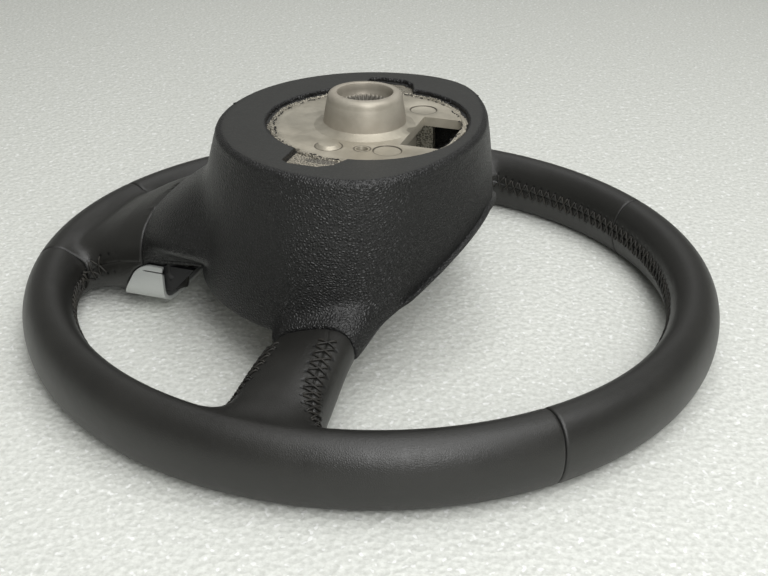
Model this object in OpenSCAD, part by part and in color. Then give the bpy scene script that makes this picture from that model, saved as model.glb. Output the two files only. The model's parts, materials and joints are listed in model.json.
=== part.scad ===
// Leather-covered car steering wheel with three spokes, bare, with no airbag module.
// It lies face down: +Z points to the back of the wheel, where the steering column goes in.
// The origin is the centre of the rim on the floor, +Y is 12 o'clock and +X the 9 o'clock spoke.

/* [Rim] */
// Outer diameter of the rim
rim_d = 375; // [350:1:400]
// Width of the grip across the rim
grip_w = 26.2; // [23:0.2:32]
// Height of the grip along the column
grip_h = 37; // [32:0.5:42]
// Squareness of the grip's oval section, where 2 is an ellipse
grip_n = 2.1; // [2:0.05:2.8]
// Thickness of the leather
skin_t = 1.3; // [0.8:0.1:2]
// Half angle of the plain leather panel at 12 o'clock
top_half = 44.2; // [35:0.2:55]
// Half angle of the leather panel at 6 o'clock
bottom_half = 15.9; // [13:0.1:22]
// Open width of a seam between two leather panels
seam_gap = 0.3; // [0.1:0.1:1]

/* [Hub shroud] */
// Height of the flat back face above the floor
hub_top = 113; // [104:0.5:120]
// Radius of the back face at the side spokes
hub_r = 85.5; // [80:0.5:90]
// How much shorter the radius is at 6 o'clock
hub_flat = 4.6; // [0:0.2:8]
// Height of the back face's edge above the centre at 12 o'clock
chord_y = 57.5; // [54:0.5:64]
// Spread of the round wall from the back face to its front edge
draft_round = 13; // [6:0.5:16]
// Spread of the wall at 12 o'clock
draft_chord = 6.5; // [3:0.5:9]
// Rounding of the back face's edge
edge_r = 4; // [2:0.5:6]
// Thickness of the foam wall
wall_t = 7; // [5:0.5:9]
// Foam that lies over the back of the plate
cover_t = 3; // [2:0.5:5]
// Height of the front edge between the spokes
front_z = 34; // [30:1:40]
// Height of the arched front edge at 12 o'clock
arch_z = 60; // [52:1:68]
// How far the ledge along the arched edge stands out
lip_t = 2.2; // [1:0.2:3]

/* [Opening in the back face] */
// Radius of the opening
open_r = 56.5; // [52:0.5:60]
// How much narrower it is at 12 o'clock
open_flat = 7; // [3:0.5:10]
// Reach of the two side notches from the centre
notch_x = 70.5; // [66:0.5:73]
// Lower end of the side notches
notch_y = -24; // [-28:0.5:-20]

/* [Side spokes] */
// Share of the way from the hub to the rim at which the leather is tucked
side_share = 0.054; // [0.04:0.002:0.12]
// Width of a side spoke
side_w = 41.5; // [36:0.5:48]
// Thickness of a side spoke
side_h = 25; // [21:0.5:28]
// Height of a side spoke's middle at the tucked edge
side_z = 30; // [28:0.5:33]
// Offset of a side spoke toward 12 o'clock
side_y = 3; // [0:0.5:6]
// Tilt of a side spoke's section
side_tilt = 18; // [10:0.5:24]

/* [Bottom spoke] */
// Share of the way from the hub to the rim at which the leather is tucked
low_share = 0.36; // [0.32:0.005:0.4]
// Width of the bottom spoke
low_w = 93; // [86:1:98]
// Height of its back at the tucked edge
low_top = 60; // [56:0.5:64]
// Height of its front at the tucked edge
low_bottom = 5; // [3:0.5:8]
// Radius of the fillets between the spokes and the rim
fillet_r = 14; // [8:1:18]

/* [Armature] */
// Thickness of the cast plate
plate_t = 5; // [4:0.5:6]
// Depth of the ribs on the front of the plate
rib_h = 11; // [6:1:14]
// Thickness of the ribs
rib_t = 3; // [2:0.5:5]
// Clearance between the plate and the foam wall
plate_gap = 0.3; // [0.1:0.1:0.6]
// Width of the ring inside the rim
ring_w = 13; // [10:0.5:15]
// Height of the ring inside the rim
ring_h = 15; // [11:0.5:18]
// Width of the side arms
side_arm_w = 24; // [18:1:28]
// Width of the bottom arm
low_arm_w = 44; // [34:1:54]
// Half width of the window in the plate
window_x = 22; // [16:1:24]

/* [Splined bush] */
// Offset of the column's axis toward 6 o'clock
column_y = -5; // [-8:0.5:-2]
// Outer diameter of the bush
bush_d = 41; // [36:0.5:44]
// How far the bush stands above the plate
bush_rise = 18; // [14:0.5:22]
// Depth of the bush below the plate's back
bush_deep = 22; // [16:1:26]
// Diameter of the ring on the end of the bush
bush_land_d = 35; // [33:0.5:36]
// Diameter of the smooth recess in the end
recess_d = 29.6; // [27:0.2:31]
// Depth of the smooth recess
recess_deep = 6; // [4:0.5:8]
// Diameter of the column bore across the tips of the splines
spline_d = 20; // [17:0.5:23]
// Depth of a spline groove
spline_h = 0.9; // [0.5:0.1:1.2]
// Number of spline grooves
spline_count = 36; // [24:1:48]

/* [Bottom spoke trim] */
// Length of the silver trim along the spoke
trim_len = 25.6; // [22:0.2:28]
// How far the trim reaches past the tucked edge toward the hub
trim_out = 11.6; // [8:0.2:14]
// Height of the trim's front face above the floor
trim_z = 6.5; // [5:0.5:8]
// Height of the trim's top edge above the floor
trim_top = 31; // [29:0.5:33]
// How far the trim's end leans toward the hub at its top
trim_lean = 11.6; // [6:0.2:13]
// Wall of the trim
trim_t = 2.2; // [1.6:0.2:3]
// Clearance between the trim and its carrier
trim_gap = 0.3; // [0.1:0.1:0.5]
// Thickness of the carrier
carrier_t = 3; // [2:0.5:4]
// Diameter of the carrier's screws
screw_d = 5; // [4:0.5:6]

/* [Catch springs] */
// Wire diameter of the two springs that catch the airbag module
wire_d = 2.5; // [2:0.1:3]
// Distance of each spring from the middle
spring_x = 46; // [42:0.5:50]
// Length of each spring
spring_len = 48; // [36:1:56]

/* [Hidden] */
$fn = 72;
eps = 0.01;
far = 500;

rim_r = rim_d / 2 - grip_w / 2;
rim_z = grip_h / 2;
rim_in = rim_r - grip_w / 2;
plate_top = hub_top - cover_t;
plate_low = plate_top - plate_t;
bush_top = plate_top + bush_rise;
bush_low = plate_top - bush_deep;
hub_low_r = hub_r + draft_round - 2;
side_tuck = mix(hub_low_r, rim_in, side_share);
low_tuck = mix(hub_low_r - hub_flat, rim_in, low_share);
low_y = -low_tuck;
low_mid = (low_top + low_bottom) / 2;
recess_top = trim_top + 2 * trim_gap;

// Small helpers
function mix(a, b, t) = a + (b - a) * t;
function clamp(t) = max(0, min(1, t));
function ease(t) = let (c = clamp(t)) c * c * (3 - 2 * c);
function signed_pow(v, p) = sign(v) * pow(abs(v), p);

// Oval with half sizes w and h; n sets how square it is
function oval(w, h, n, count) = [for (i = [0 : count - 1]) let (t = 360 * i / count)
    [w * signed_pow(cos(t), 2 / n), h * signed_pow(sin(t), 2 / n)]];

// Faces of a closed skin through rings of m points, with both ends closed
function skin_faces(rings, m) = concat(
    [[for (i = [0 : m - 1]) i]],
    [for (k = [0 : rings - 2]) for (i = [0 : m - 1])
        [k * m + i, (k + 1) * m + i, k * m + (i + 1) % m]],
    [for (k = [0 : rings - 2]) for (i = [0 : m - 1])
        [k * m + (i + 1) % m, (k + 1) * m + i, (k + 1) * m + (i + 1) % m]],
    [[for (i = [m - 1 : -1 : 0]) (rings - 1) * m + i]]
);

// Outline of the hub: a round wall, cut off by a shallow arc at 12 o'clock
chord_bow = 240;
corner_p = 16;
function depth_growth(z, reach) = 1 - exp(-max(0, hub_top - z - 2) / reach);
function round_wall(q, z) = hub_r - hub_flat * (1 - cos(2 * q)) / 2
    + draft_round * depth_growth(z, 42) * mix(1, 0.15, ease((q + 10) / 35));
function chord_wall(q, z) = let (
    y = chord_y + draft_chord * depth_growth(z, 32),
    s = sin(q),
    c = cos(q) * cos(q))
    2 * y / max(0.001, s + sqrt(max(0, s * s + 4 * c * y / chord_bow)));
function hub_wall(q, z) = pow(pow(round_wall(q, z), -corner_p)
    + (q > -20 ? pow(chord_wall(q, z), -corner_p) : 0), -1 / corner_p);
function edge_inset(z) = let (t = clamp((z - hub_top + edge_r) / edge_r)) edge_r * (1 - sqrt(1 - t * t));

// Shoulder of a spoke: how far the foam reaches along direction q at height z
// An arm is [direction, tuck, offset, middle height, half width, half height, squareness, tilt, slope]
side_n = 2.6;
low_n = 2.7;
side_arm = [0, side_tuck, side_y, side_z, side_w / 2, side_h / 2, side_n, -side_tilt, 34];
low_arm = [-90, low_tuck, 0, low_mid, low_w / 2, (low_top - low_bottom) / 2, low_n, 0, 36];
past_tuck = 9;
function arm_reach(q, z, arm) = let (d = q - arm[0]) abs(d) > 70 ? 1 : let (
    v = arm[1] * tan(d) - arm[2],
    h = z - arm[3],
    a = v * cos(arm[7]) - h * sin(arm[7]),
    b = v * sin(arm[7]) + h * cos(arm[7]),
    s = pow(pow(abs(a) / arm[4], arm[6]) + pow(abs(b) / arm[5], arm[6]), 1 / arm[6]))
    max(1, min(arm[1] + past_tuck, arm[1] + arm[8] * (1 - s)) / cos(d));

// The left half mirrors the right one, so directions fold into -90 to 90
blend_p = 22;
function fold(t) = asin(sin(t));
function foam_wall(q, z) = pow(pow(hub_wall(q, z), blend_p) + pow(arm_reach(q, z, side_arm), blend_p)
    + pow(arm_reach(q, z, low_arm), blend_p), 1 / blend_p) - edge_inset(z);

// Height of the shroud's front edge: low at the spokes, arched at 12 o'clock
side_low = side_z - side_h / 2;
function front_edge(q) = q > 0
    ? side_low + (arch_z - side_low) * (1 - exp(-max(0, q - 10) / 16))
    : mix(mix(side_low, front_z, ease((-q - 8) / 4)), recess_top + skin_t, ease((-q - 68) / 7));
function lip(q) = lip_t * ease((q - 26) / 6);

// Directions of the wall's points, closer together at the spokes
foam_steps = concat([for (t = [-28 : 2 : 28]) t], [for (t = [33 : 5.7 : 147]) t],
    [for (t = [152 : 2 : 208]) t],
    [for (t = [214 : 6 : 232]) t], [for (t = [236 : 3 : 304]) t], [for (t = [308 : 6 : 326]) t]);
foam_n = len(foam_steps);
wall_levels = [0.06, 0.13, 0.2, 0.28, 0.37, 0.47, 0.58, 0.7, 0.82, 0.92, 1];
edge_levels = [0.4, 0.75, 1];
lip_h = 2.6;
function ring_at(r, t, z) = [r * cos(t), r * sin(t), z];
function foam_outer() = concat(
    [for (k = [0, 1, 2]) [for (t = foam_steps) let (
        q = fold(t),
        z = front_edge(q) + [0, lip_h, lip_h + 0.5][k])
        ring_at(foam_wall(q, z) + (k < 2 ? lip(q) : 0), t, z)]],
    [for (u = wall_levels) [for (t = foam_steps) let (
        q = fold(t),
        z = mix(front_edge(q) + lip_h + 0.5, hub_top - edge_r, u)) ring_at(foam_wall(q, z), t, z)]],
    [for (u = edge_levels) [for (t = foam_steps) let (z = hub_top - edge_r * (1 - u))
        ring_at(foam_wall(fold(t), z), t, z)]]
);
function well_wall(q, z) = hub_wall(q, z) - wall_t;
function foam_inner() = [for (u = [1 : -0.25 : 0]) [for (t = foam_steps) let (
    q = fold(t),
    z = mix(front_edge(q), plate_top, u)) ring_at(well_wall(q, z), t, z)]];
module foam_shroud() {
    rings = concat(foam_inner(), foam_outer());
    polyhedron([for (ring = rings) for (p = ring) p], skin_faces(len(rings), foam_n), convexity = 6);
}

// Parts of the rim between two directions, shrunk by an inset
module rim_arc(inset, from, to) {
    rotate([0, 0, from]) rotate_extrude(angle = to - from, $fn = 180) translate([rim_r, rim_z])
        polygon(oval(grip_w / 2 - inset, grip_h / 2 - inset, grip_n, 40));
}

// Spoke between its tucked edge and the rim, as a skin through ovals
// A station is [distance, offset, middle height, half width, half height, tilt]
fillet_steps = [0, 0.35, 0.6, 0.8, 0.93, 1];
function fillet_out(r) = let (t = clamp((r - rim_in + fillet_r) / fillet_r))
    fillet_r * (1 - sqrt(1 - t * t));
function run_out(tuck) = concat([for (t = [0, 0.25, 0.5, 0.75]) mix(tuck, rim_in - fillet_r, t)],
    [for (t = fillet_steps) rim_in - fillet_r * (1 - t)], [rim_r]);
sink = 1;
function side_station(r) = let (t = ease((r - side_tuck) / (rim_in - side_tuck))) [r, side_y,
    mix(side_z, rim_z, t), side_w / 2 + fillet_out(r), mix(side_h / 2, rim_z - sink, t),
    -side_tilt * (1 - t), side_n];
low_span = rim_in - low_tuck;
low_spread = 0.55;
low_end_w = 2 * (rim_in * sin(bottom_half) - low_spread * fillet_r) - 3 * seam_gap;
low_back = [[0, 0], [0.4, 0.36], [0.68, 0.66], [0.86, 0.84], [1, 1]];
function low_station(r) = let (
    u = (r - low_tuck) / low_span,
    top = mix(low_top, grip_h - sink, lookup(u, low_back)),
    bottom = mix(low_bottom, sink, clamp(u)))
    [r, 0, (top + bottom) / 2, mix(low_w, low_end_w, clamp(u)) / 2 + fillet_out(r) * low_spread,
        (top - bottom) / 2, 0, low_n];
function station_ring(s, inset) = [for (p = oval(s[3] - inset, s[4] - inset, s[6], 36))
    [s[0], s[1] + p[0] * cos(s[5]) + p[1] * sin(s[5]), s[2] - p[0] * sin(s[5]) + p[1] * cos(s[5])]];
module spoke_skin(stations, inset) {
    rings = [for (s = stations) station_ring(s, inset)];
    polyhedron([for (ring = rings) for (p = ring) p], skin_faces(len(rings), 36), convexity = 4);
}
module side_spoke() {
    spoke_skin([for (r = run_out(side_tuck)) side_station(r)], 0);
}
module side_core() {
    spoke_skin([for (r = concat([side_tuck - core_in], run_out(side_tuck))) side_station(r)], skin_t);
}
module low_spoke() {
    rotate([0, 0, -90]) spoke_skin([for (r = run_out(low_tuck)) low_station(r)], 0);
}
module low_core() difference() {
    rotate([0, 0, -90])
        spoke_skin([for (r = concat([low_tuck - core_in], run_out(low_tuck))) low_station(r)], skin_t);
    recess(skin_t);
}

// Recess for the trim in the front of the bottom spoke, and the trim's outline from the side
trim_y1 = low_y + trim_out;
trim_y0 = trim_y1 - trim_len;
trim_foot = 3;
function rim_side(grow) = [for (t = [0 : 0.2 : 1])
    [trim_y0 + trim_lean * pow(t, 1.15) - 1.15 * grow, mix(trim_z + trim_foot, trim_top + grow, t)]];
module side_slab(outline, width) {
    rotate([90, 0, 90]) linear_extrude(width, center = true) polygon(outline);
}
module recess(lining) {
    grow = 2 * trim_gap + lining;
    side_slab(concat([[low_y + core_in + 1, trim_top + grow], [low_y + core_in + 1, -1],
        [trim_y0 - 1.15 * grow, -1]],
        rim_side(grow)), far);
}
module on_both_sides() {
    children();
    mirror([1, 0, 0]) children();
}

// Foam moulding: hub shroud, spoke cores and rim core, moulded round the armature
core_in = 6;
module opening() {
    steps = [for (t = [0 : 5 : 355]) let (
        q = fold(t),
        r = open_r - (q > 0 ? open_flat * sin(q) * sin(q) : 0))
        [r * cos(t), r * sin(t)]];
    translate([0, 0, plate_top - eps]) linear_extrude(cover_t + 1) {
        polygon(steps);
        on_both_sides() polygon([[open_r - 8, notch_y], [notch_x - 3, notch_y], [notch_x, notch_y + 4],
            [notch_x, -5], [notch_x - 5, 1.5], [open_r + 1, 5], [open_r - 8, 6]]);
    }
}
module foam_body() color("#26272a") difference() {
    union() {
        difference() {
            foam_shroud();
            on_both_sides() translate([side_tuck, -far / 2, 0]) cube([far, far, hub_top]);
            translate([-far / 2, low_y - far, 0]) cube([far, far, hub_top]);
        }
        on_both_sides() side_core();
        low_core();
        rim_arc(skin_t, 0, 360);
    }
    opening();
    arms();
    ring();
    carrier_bosses();
}

// Leather panels, each a glove round the foam core
module leather_arc(from, to) {
    half_gap = asin(seam_gap / 2 / rim_r);
    difference() {
        rim_arc(0, from + half_gap, to - half_gap);
        rim_arc(skin_t, from, to);
    }
}
module spoke_panel(from, to) {
    half_gap = asin(seam_gap / 2 / rim_r);
    difference() {
        union() {
            rim_arc(0, from + half_gap, to - half_gap);
            children(0);
        }
        rim_arc(skin_t, 0, 360);
        children(1);
    }
}
module low_leather() difference() {
    low_spoke();
    recess(0);
}
module leather_top() color("#222326") leather_arc(90 - top_half, 90 + top_half);
module leather_left() color("#222326") spoke_panel(bottom_half - 90, 90 - top_half) {
    side_spoke();
    side_core();
}
module leather_right() color("#222326") mirror([1, 0, 0]) spoke_panel(bottom_half - 90, 90 - top_half) {
    side_spoke();
    side_core();
}
module leather_bottom() color("#222326") spoke_panel(270 - bottom_half, 270 + bottom_half) {
    low_leather();
    low_core();
}

// Armature: one light-alloy casting
plate_steps = [for (t = [0 : 5 : 355]) t];
module plate_outline() polygon([for (t = plate_steps) let (r = well_wall(fold(t), plate_top) - plate_gap)
    [r * cos(t), r * sin(t)]]);
module arm(profile, width, turn) {
    rotate([90, 0, turn]) linear_extrude(width, center = true) polygon(profile);
}
arm_t = 5;
side_root = hub_r - wall_t - 3;
side_profile = [[side_root - 14, plate_top], [side_root + 2, plate_top], [side_root + 6, 60],
    [side_root + 9, side_z + 9], [side_tuck, side_z + 4], [rim_r, rim_z + 5], [rim_r, rim_z - 5],
    [side_tuck, side_z - 5], [side_root + 4, side_z - 4], [side_root + 1, 56], [side_root - 3, plate_low],
    [side_root - 14, plate_low]];
low_root = hub_r - hub_flat - wall_t - 3;
arm_low = recess_top + skin_t + 3;
low_profile = [[low_root - 14, plate_top], [low_root + 1, plate_top], [low_root + 6, 80],
    [low_tuck - 24, arm_low + 16],
    [low_tuck, arm_low + 9], [rim_in - 12, rim_z + 16], [rim_r, rim_z + 6], [rim_r, rim_z - 5],
    [rim_in - 12, rim_z + 6], [low_tuck, arm_low], [low_tuck - 29, arm_low + 4], [low_root + 1, 78],
    [low_root - 4, plate_low], [low_root - 14, plate_low]];
module arms() {
    on_both_sides() arm(side_profile, side_arm_w, 0);
    arm(low_profile, low_arm_w, -90);
}
module ring() {
    rotate_extrude($fn = 180) translate([rim_r, rim_z]) difference() {
        square([ring_w, ring_h], center = true);
        translate([0, -ring_h / 2]) square([ring_w - 8, ring_h - 4], center = true);
    }
}
boss_x = 3 * screw_d;
screw_deep = 2.4 * screw_d;
boss_y = trim_y1 - 0.7 * screw_d;
carrier_z = recess_top - 4 * carrier_t;
module carrier_bosses() {
    on_both_sides() translate([boss_x, boss_y, carrier_z])
        cylinder(d = screw_d + 6, h = arm_low + 3 - carrier_z);
}
module ribs() {
    translate([0, 0, plate_low - rib_h]) linear_extrude(rib_h + eps) intersection() {
        plate_outline();
        difference() {
            union() {
                translate([0, column_y]) intersection() {
                    for (t = [15, 55, 90, 125, 165]) rotate(t) square([far, rib_t], center = true);
                    circle(r = spring_x - 5);
                }
                translate([0, column_y]) difference() {
                    circle(d = bush_d + 14);
                    circle(d = bush_d - 1);
                }
            }
            translate([-window_x - 3, 18]) square([2 * window_x + 6, 29]);
        }
    }
}
spring_y0 = -34;
wire_gap = 0.2;
hook_deep = wire_d + 2 * wire_gap + 2;
module spring_lugs() {
    for (y = [spring_y0 + 10, spring_y0 + spring_len - 10]) on_both_sides() translate([spring_x, y, 0]) {
        translate([wire_d / 2 + wire_gap, -3, plate_low - hook_deep]) cube([2.5, 6, hook_deep + eps]);
        translate([-wire_d / 2, -3, plate_low - hook_deep]) cube([wire_d + wire_gap + 2.5, 6, 2]);
    }
}
module armature() color("#a9a295") difference() {
    union() {
        translate([0, 0, plate_low]) linear_extrude(plate_t) plate_outline();
        translate([0, column_y, plate_top - eps]) cylinder(d1 = bush_d + 12, d2 = bush_d + 4, h = 5);
        arms();
        carrier_bosses();
        ring();
        ribs();
        spring_lugs();
        translate([36, -12, plate_top - eps]) cylinder(d1 = 13, d2 = 10, h = 1.6);
    }
    translate([0, column_y, bush_low - far]) cylinder(d = bush_d, h = 2 * far);
    translate([-window_x, 21, plate_low - 1]) cube([2 * window_x, 23, plate_t + 2]);
    translate([34, 5, plate_low - far]) cylinder(d = 6, h = 2 * far);
    on_both_sides() translate([32.3, 17.5, plate_top - 0.4]) cylinder(d = 14.2, h = 1);
    on_both_sides() translate([boss_x, boss_y, carrier_z - 1]) cylinder(d = screw_d, h = screw_deep + 1);
}

// Splined bush, cast into the plate
function spline_points() = let (step = 360 / spline_count) [for (i = [0 : spline_count - 1])
    for (part = [[0, 0], [0.5, 0], [0.65, spline_h], [0.85, spline_h]]) let (t = (i + part[0]) * step)
        (spline_d / 2 + part[1]) * [cos(t), sin(t)]];
module splined_bush() color("#8d8980") translate([0, column_y, 0]) difference() {
    rotate_extrude() polygon([[spline_d / 2 - 1, bush_low], [bush_d / 2, bush_low],
        [bush_d / 2, bush_top - 4],
        [bush_land_d / 2, bush_top - 1], [bush_land_d / 2, bush_top], [recess_d / 2, bush_top],
        [recess_d / 2, bush_top - recess_deep], [spline_d / 2 - 1, bush_top - recess_deep - 4]]);
    translate([0, 0, bush_low - 1]) linear_extrude(bush_deep + bush_rise) polygon(spline_points());
}

// Silver trim on the front of the bottom spoke
module trim_section(grow) {
    rotate([90, 0, 0]) linear_extrude(2 * low_tuck) translate([0, low_mid])
        polygon(oval(low_w / 2 - trim_gap + grow, low_mid - trim_z + grow, 6, 72));
}
module spoke_trim() color("#b9bcc0") difference() {
    intersection() {
        side_slab(concat([[trim_y1, trim_top], [trim_y1, 0], [trim_y0 + trim_foot, 0]], rim_side(0)), low_w);
        trim_section(0);
    }
    intersection() {
        side_slab(concat([[trim_y1 + 1, low_top], [trim_y1 + 1, 0], [trim_y0 + trim_foot + trim_t, 0]],
            rim_side(-trim_t), [[trim_y0 + trim_lean + trim_t, low_top]]), low_w);
        trim_section(-trim_t);
    }
}

// Black carrier that holds the trim on the arm's two bosses
cheek_x = low_w / 2 - 4 * trim_gap - trim_t;
cheek_top = recess_top - trim_gap;
module trim_carrier() color("#1b1b1d") {
    inner_y = trim_y0 + trim_lean + trim_t + 4 * trim_gap;
    outer_y = trim_y1 + 1.5 * carrier_t;
    low_z = carrier_z - carrier_t;
    difference() {
        union() {
            translate([-cheek_x, inner_y, low_z]) cube([2 * cheek_x, outer_y - inner_y, carrier_t]);
            on_both_sides() translate([cheek_x - carrier_t / 2, 0, 0]) side_slab([[inner_y, low_z],
                [outer_y, low_z],
                [outer_y + cheek_top - low_z - carrier_t / 2, cheek_top], [inner_y, cheek_top]], carrier_t);
        }
        on_both_sides() translate([boss_x, boss_y, 0]) cylinder(d = screw_d + 0.4, h = cheek_top);
    }
}

// The two screws of the carrier
module trim_screws() color("#3a3b3d") on_both_sides() translate([boss_x, boss_y, carrier_z]) {
    translate([0, 0, -carrier_t]) cylinder(d = screw_d, h = carrier_t + screw_deep);
    translate([0, 0, -carrier_t - 0.5 * screw_d]) difference() {
        cylinder(d = 1.8 * screw_d, h = 0.5 * screw_d);
        translate([0, 0, -1]) cylinder(d = 0.6 * screw_d, h = 0.36 * screw_d + 1, $fn = 6);
    }
}

// Spring wires on the front of the plate that catch the airbag module
module catch_spring() {
    bend = 5;
    leg = 9;
    translate([spring_x, spring_y0, plate_low - wire_d / 2 - wire_gap]) {
        translate([0, bend, 0]) rotate([-90, 0, 0]) cylinder(d = wire_d, h = spring_len - 2 * bend);
        translate([-bend, bend, 0]) rotate([0, 0, -90]) rotate_extrude(angle = 90) translate([bend, 0])
            circle(d = wire_d);
        translate([-bend, spring_len - bend, 0]) rotate_extrude(angle = 90) translate([bend, 0])
            circle(d = wire_d);
        for (y = [0, spring_len]) translate([-bend, y, 0]) rotate([0, -90, 0]) cylinder(d = wire_d, h = leg);
    }
}
module catch_spring_left() color("#777a7d") catch_spring();
module catch_spring_right() color("#777a7d") mirror([1, 0, 0]) catch_spring();

armature();
splined_bush();
foam_body();
leather_top();
leather_left();
leather_right();
leather_bottom();
spoke_trim();
trim_carrier();
trim_screws();
catch_spring_left();
catch_spring_right();
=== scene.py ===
"""Leather-covered car steering wheel, bare and lying face down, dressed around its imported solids.

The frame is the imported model's: +Z is the back of the wheel, +Y is 12 o'clock, and the origin is
the centre of the rim on the floor. Sizes are written in millimetres and become metres in the meshes.
"""

import json
import logging
import math
from dataclasses import dataclass
from typing import Callable, Sequence

import bpy
import numpy as np
from mathutils import Matrix, Vector
from mathutils.kdtree import KDTree

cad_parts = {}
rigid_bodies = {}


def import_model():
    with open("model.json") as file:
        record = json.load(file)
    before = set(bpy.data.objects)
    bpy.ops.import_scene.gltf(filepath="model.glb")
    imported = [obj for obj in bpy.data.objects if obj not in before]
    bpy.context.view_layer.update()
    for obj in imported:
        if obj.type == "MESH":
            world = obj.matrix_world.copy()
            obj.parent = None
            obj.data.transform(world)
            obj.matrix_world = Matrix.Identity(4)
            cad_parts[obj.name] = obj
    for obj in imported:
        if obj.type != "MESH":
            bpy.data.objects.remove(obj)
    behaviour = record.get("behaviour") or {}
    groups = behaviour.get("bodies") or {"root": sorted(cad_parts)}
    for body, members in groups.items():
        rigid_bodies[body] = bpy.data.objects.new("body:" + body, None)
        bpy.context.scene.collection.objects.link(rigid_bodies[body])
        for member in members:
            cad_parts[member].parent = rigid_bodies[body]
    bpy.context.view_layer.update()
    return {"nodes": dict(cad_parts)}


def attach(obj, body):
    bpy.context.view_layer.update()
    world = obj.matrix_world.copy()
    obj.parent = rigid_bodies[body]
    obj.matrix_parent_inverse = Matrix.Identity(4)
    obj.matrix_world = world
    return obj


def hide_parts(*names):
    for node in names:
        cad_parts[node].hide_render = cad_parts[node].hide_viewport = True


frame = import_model()

log = logging.getLogger("steering_wheel")
MM = 0.001
SEED = 7
BODY = "root"
LACE_REACH = 5.1
LACE_PITCH = 5.6
Array = np.ndarray
Obj, Material, Socket, Tree = bpy.types.Object, bpy.types.Material, bpy.types.NodeSocket, bpy.types.NodeTree


# ---------------------------------------------------------------- sizes and surfaces


def mix(a, b, t):
    """Value between a and b at share t."""
    return a + (b - a) * t


def ease(t):
    """Smooth step from 0 to 1."""
    c = np.clip(t, 0.0, 1.0)
    return c * c * (3 - 2 * c)


def soft_min(a, b, width: float):
    """Smaller of two values, rounded over a width."""
    h = np.clip(0.5 + 0.5 * (b - a) / width, 0, 1)
    return mix(b, a, h) - width * h * (1 - h)


def fold(t: Array) -> Array:
    """Directions in degrees as angles over the level line, the same on both sides of the wheel."""
    return np.degrees(np.arcsin(np.sin(np.radians(t))))


def smoothed(draws: Array, width: int, spare: int) -> Array:
    """Running mean of draws, without the spare ones at both ends."""
    return np.convolve(draws, np.ones(width) / width, "same")[spare:-spare]


def turned(radii: Array, t: Array, heights: Array, middle: float = 0.0) -> Array:
    """Rows of points at radii and heights over directions in degrees, round a middle on Y."""
    turn = np.radians(t)[:, None]
    return np.stack([radii * np.cos(turn), radii * np.sin(turn) + middle, heights], axis=2)


def slope_of(field: Callable[[Array], Array], p: Array, step: float) -> Array:
    """How fast a field rises at points along each axis."""
    return np.stack([(field(p + step * axis) - field(p - step * axis)) / (2 * step)
                     for axis in np.eye(3)], axis=1)


def oval_gap(across: Array, up: Array, half_w, half_h, squareness: float) -> Array:
    """Distance outside an oval, measured along the ray from its centre.

    Args:
        across: offset from the centre along the width.
        up: offset from the centre along the height.
        half_w: half width of the oval.
        half_h: half height of the oval.
        squareness: 2 for an ellipse, more for a boxier oval.

    Returns:
        Distance in millimetres, negative inside.
    """
    s = (np.abs(across / half_w) ** squareness + np.abs(up / half_h) ** squareness) ** (1 / squareness)
    reach = np.hypot(across, up)
    return reach - reach / np.maximum(s, 1e-6)


def outline_gap(points: Array, corners: Array) -> Array:
    """Distance of flat points outside a closed outline.

    Args:
        points: one row a point.
        corners: the outline's corners in order.

    Returns:
        Distance in millimetres, negative inside.
    """
    nearest = np.full(len(points), 1e9)
    inside = np.zeros(len(points), bool)
    for a, b in zip(corners, np.roll(corners, -1, axis=0)):
        along = b - a
        share = np.clip((points - a) @ along / max(along @ along, 1e-9), 0, 1)
        nearest = np.minimum(nearest, np.linalg.norm(points - a - share[:, None] * along, axis=1))
        crosses = (a[1] > points[:, 1]) != (b[1] > points[:, 1])
        rise = b[1] - a[1] if b[1] != a[1] else 1e-9
        inside ^= crosses & (points[:, 0] < a[0] + (points[:, 1] - a[1]) * along[0] / rise)
    return np.where(inside, -nearest, nearest)


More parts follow.
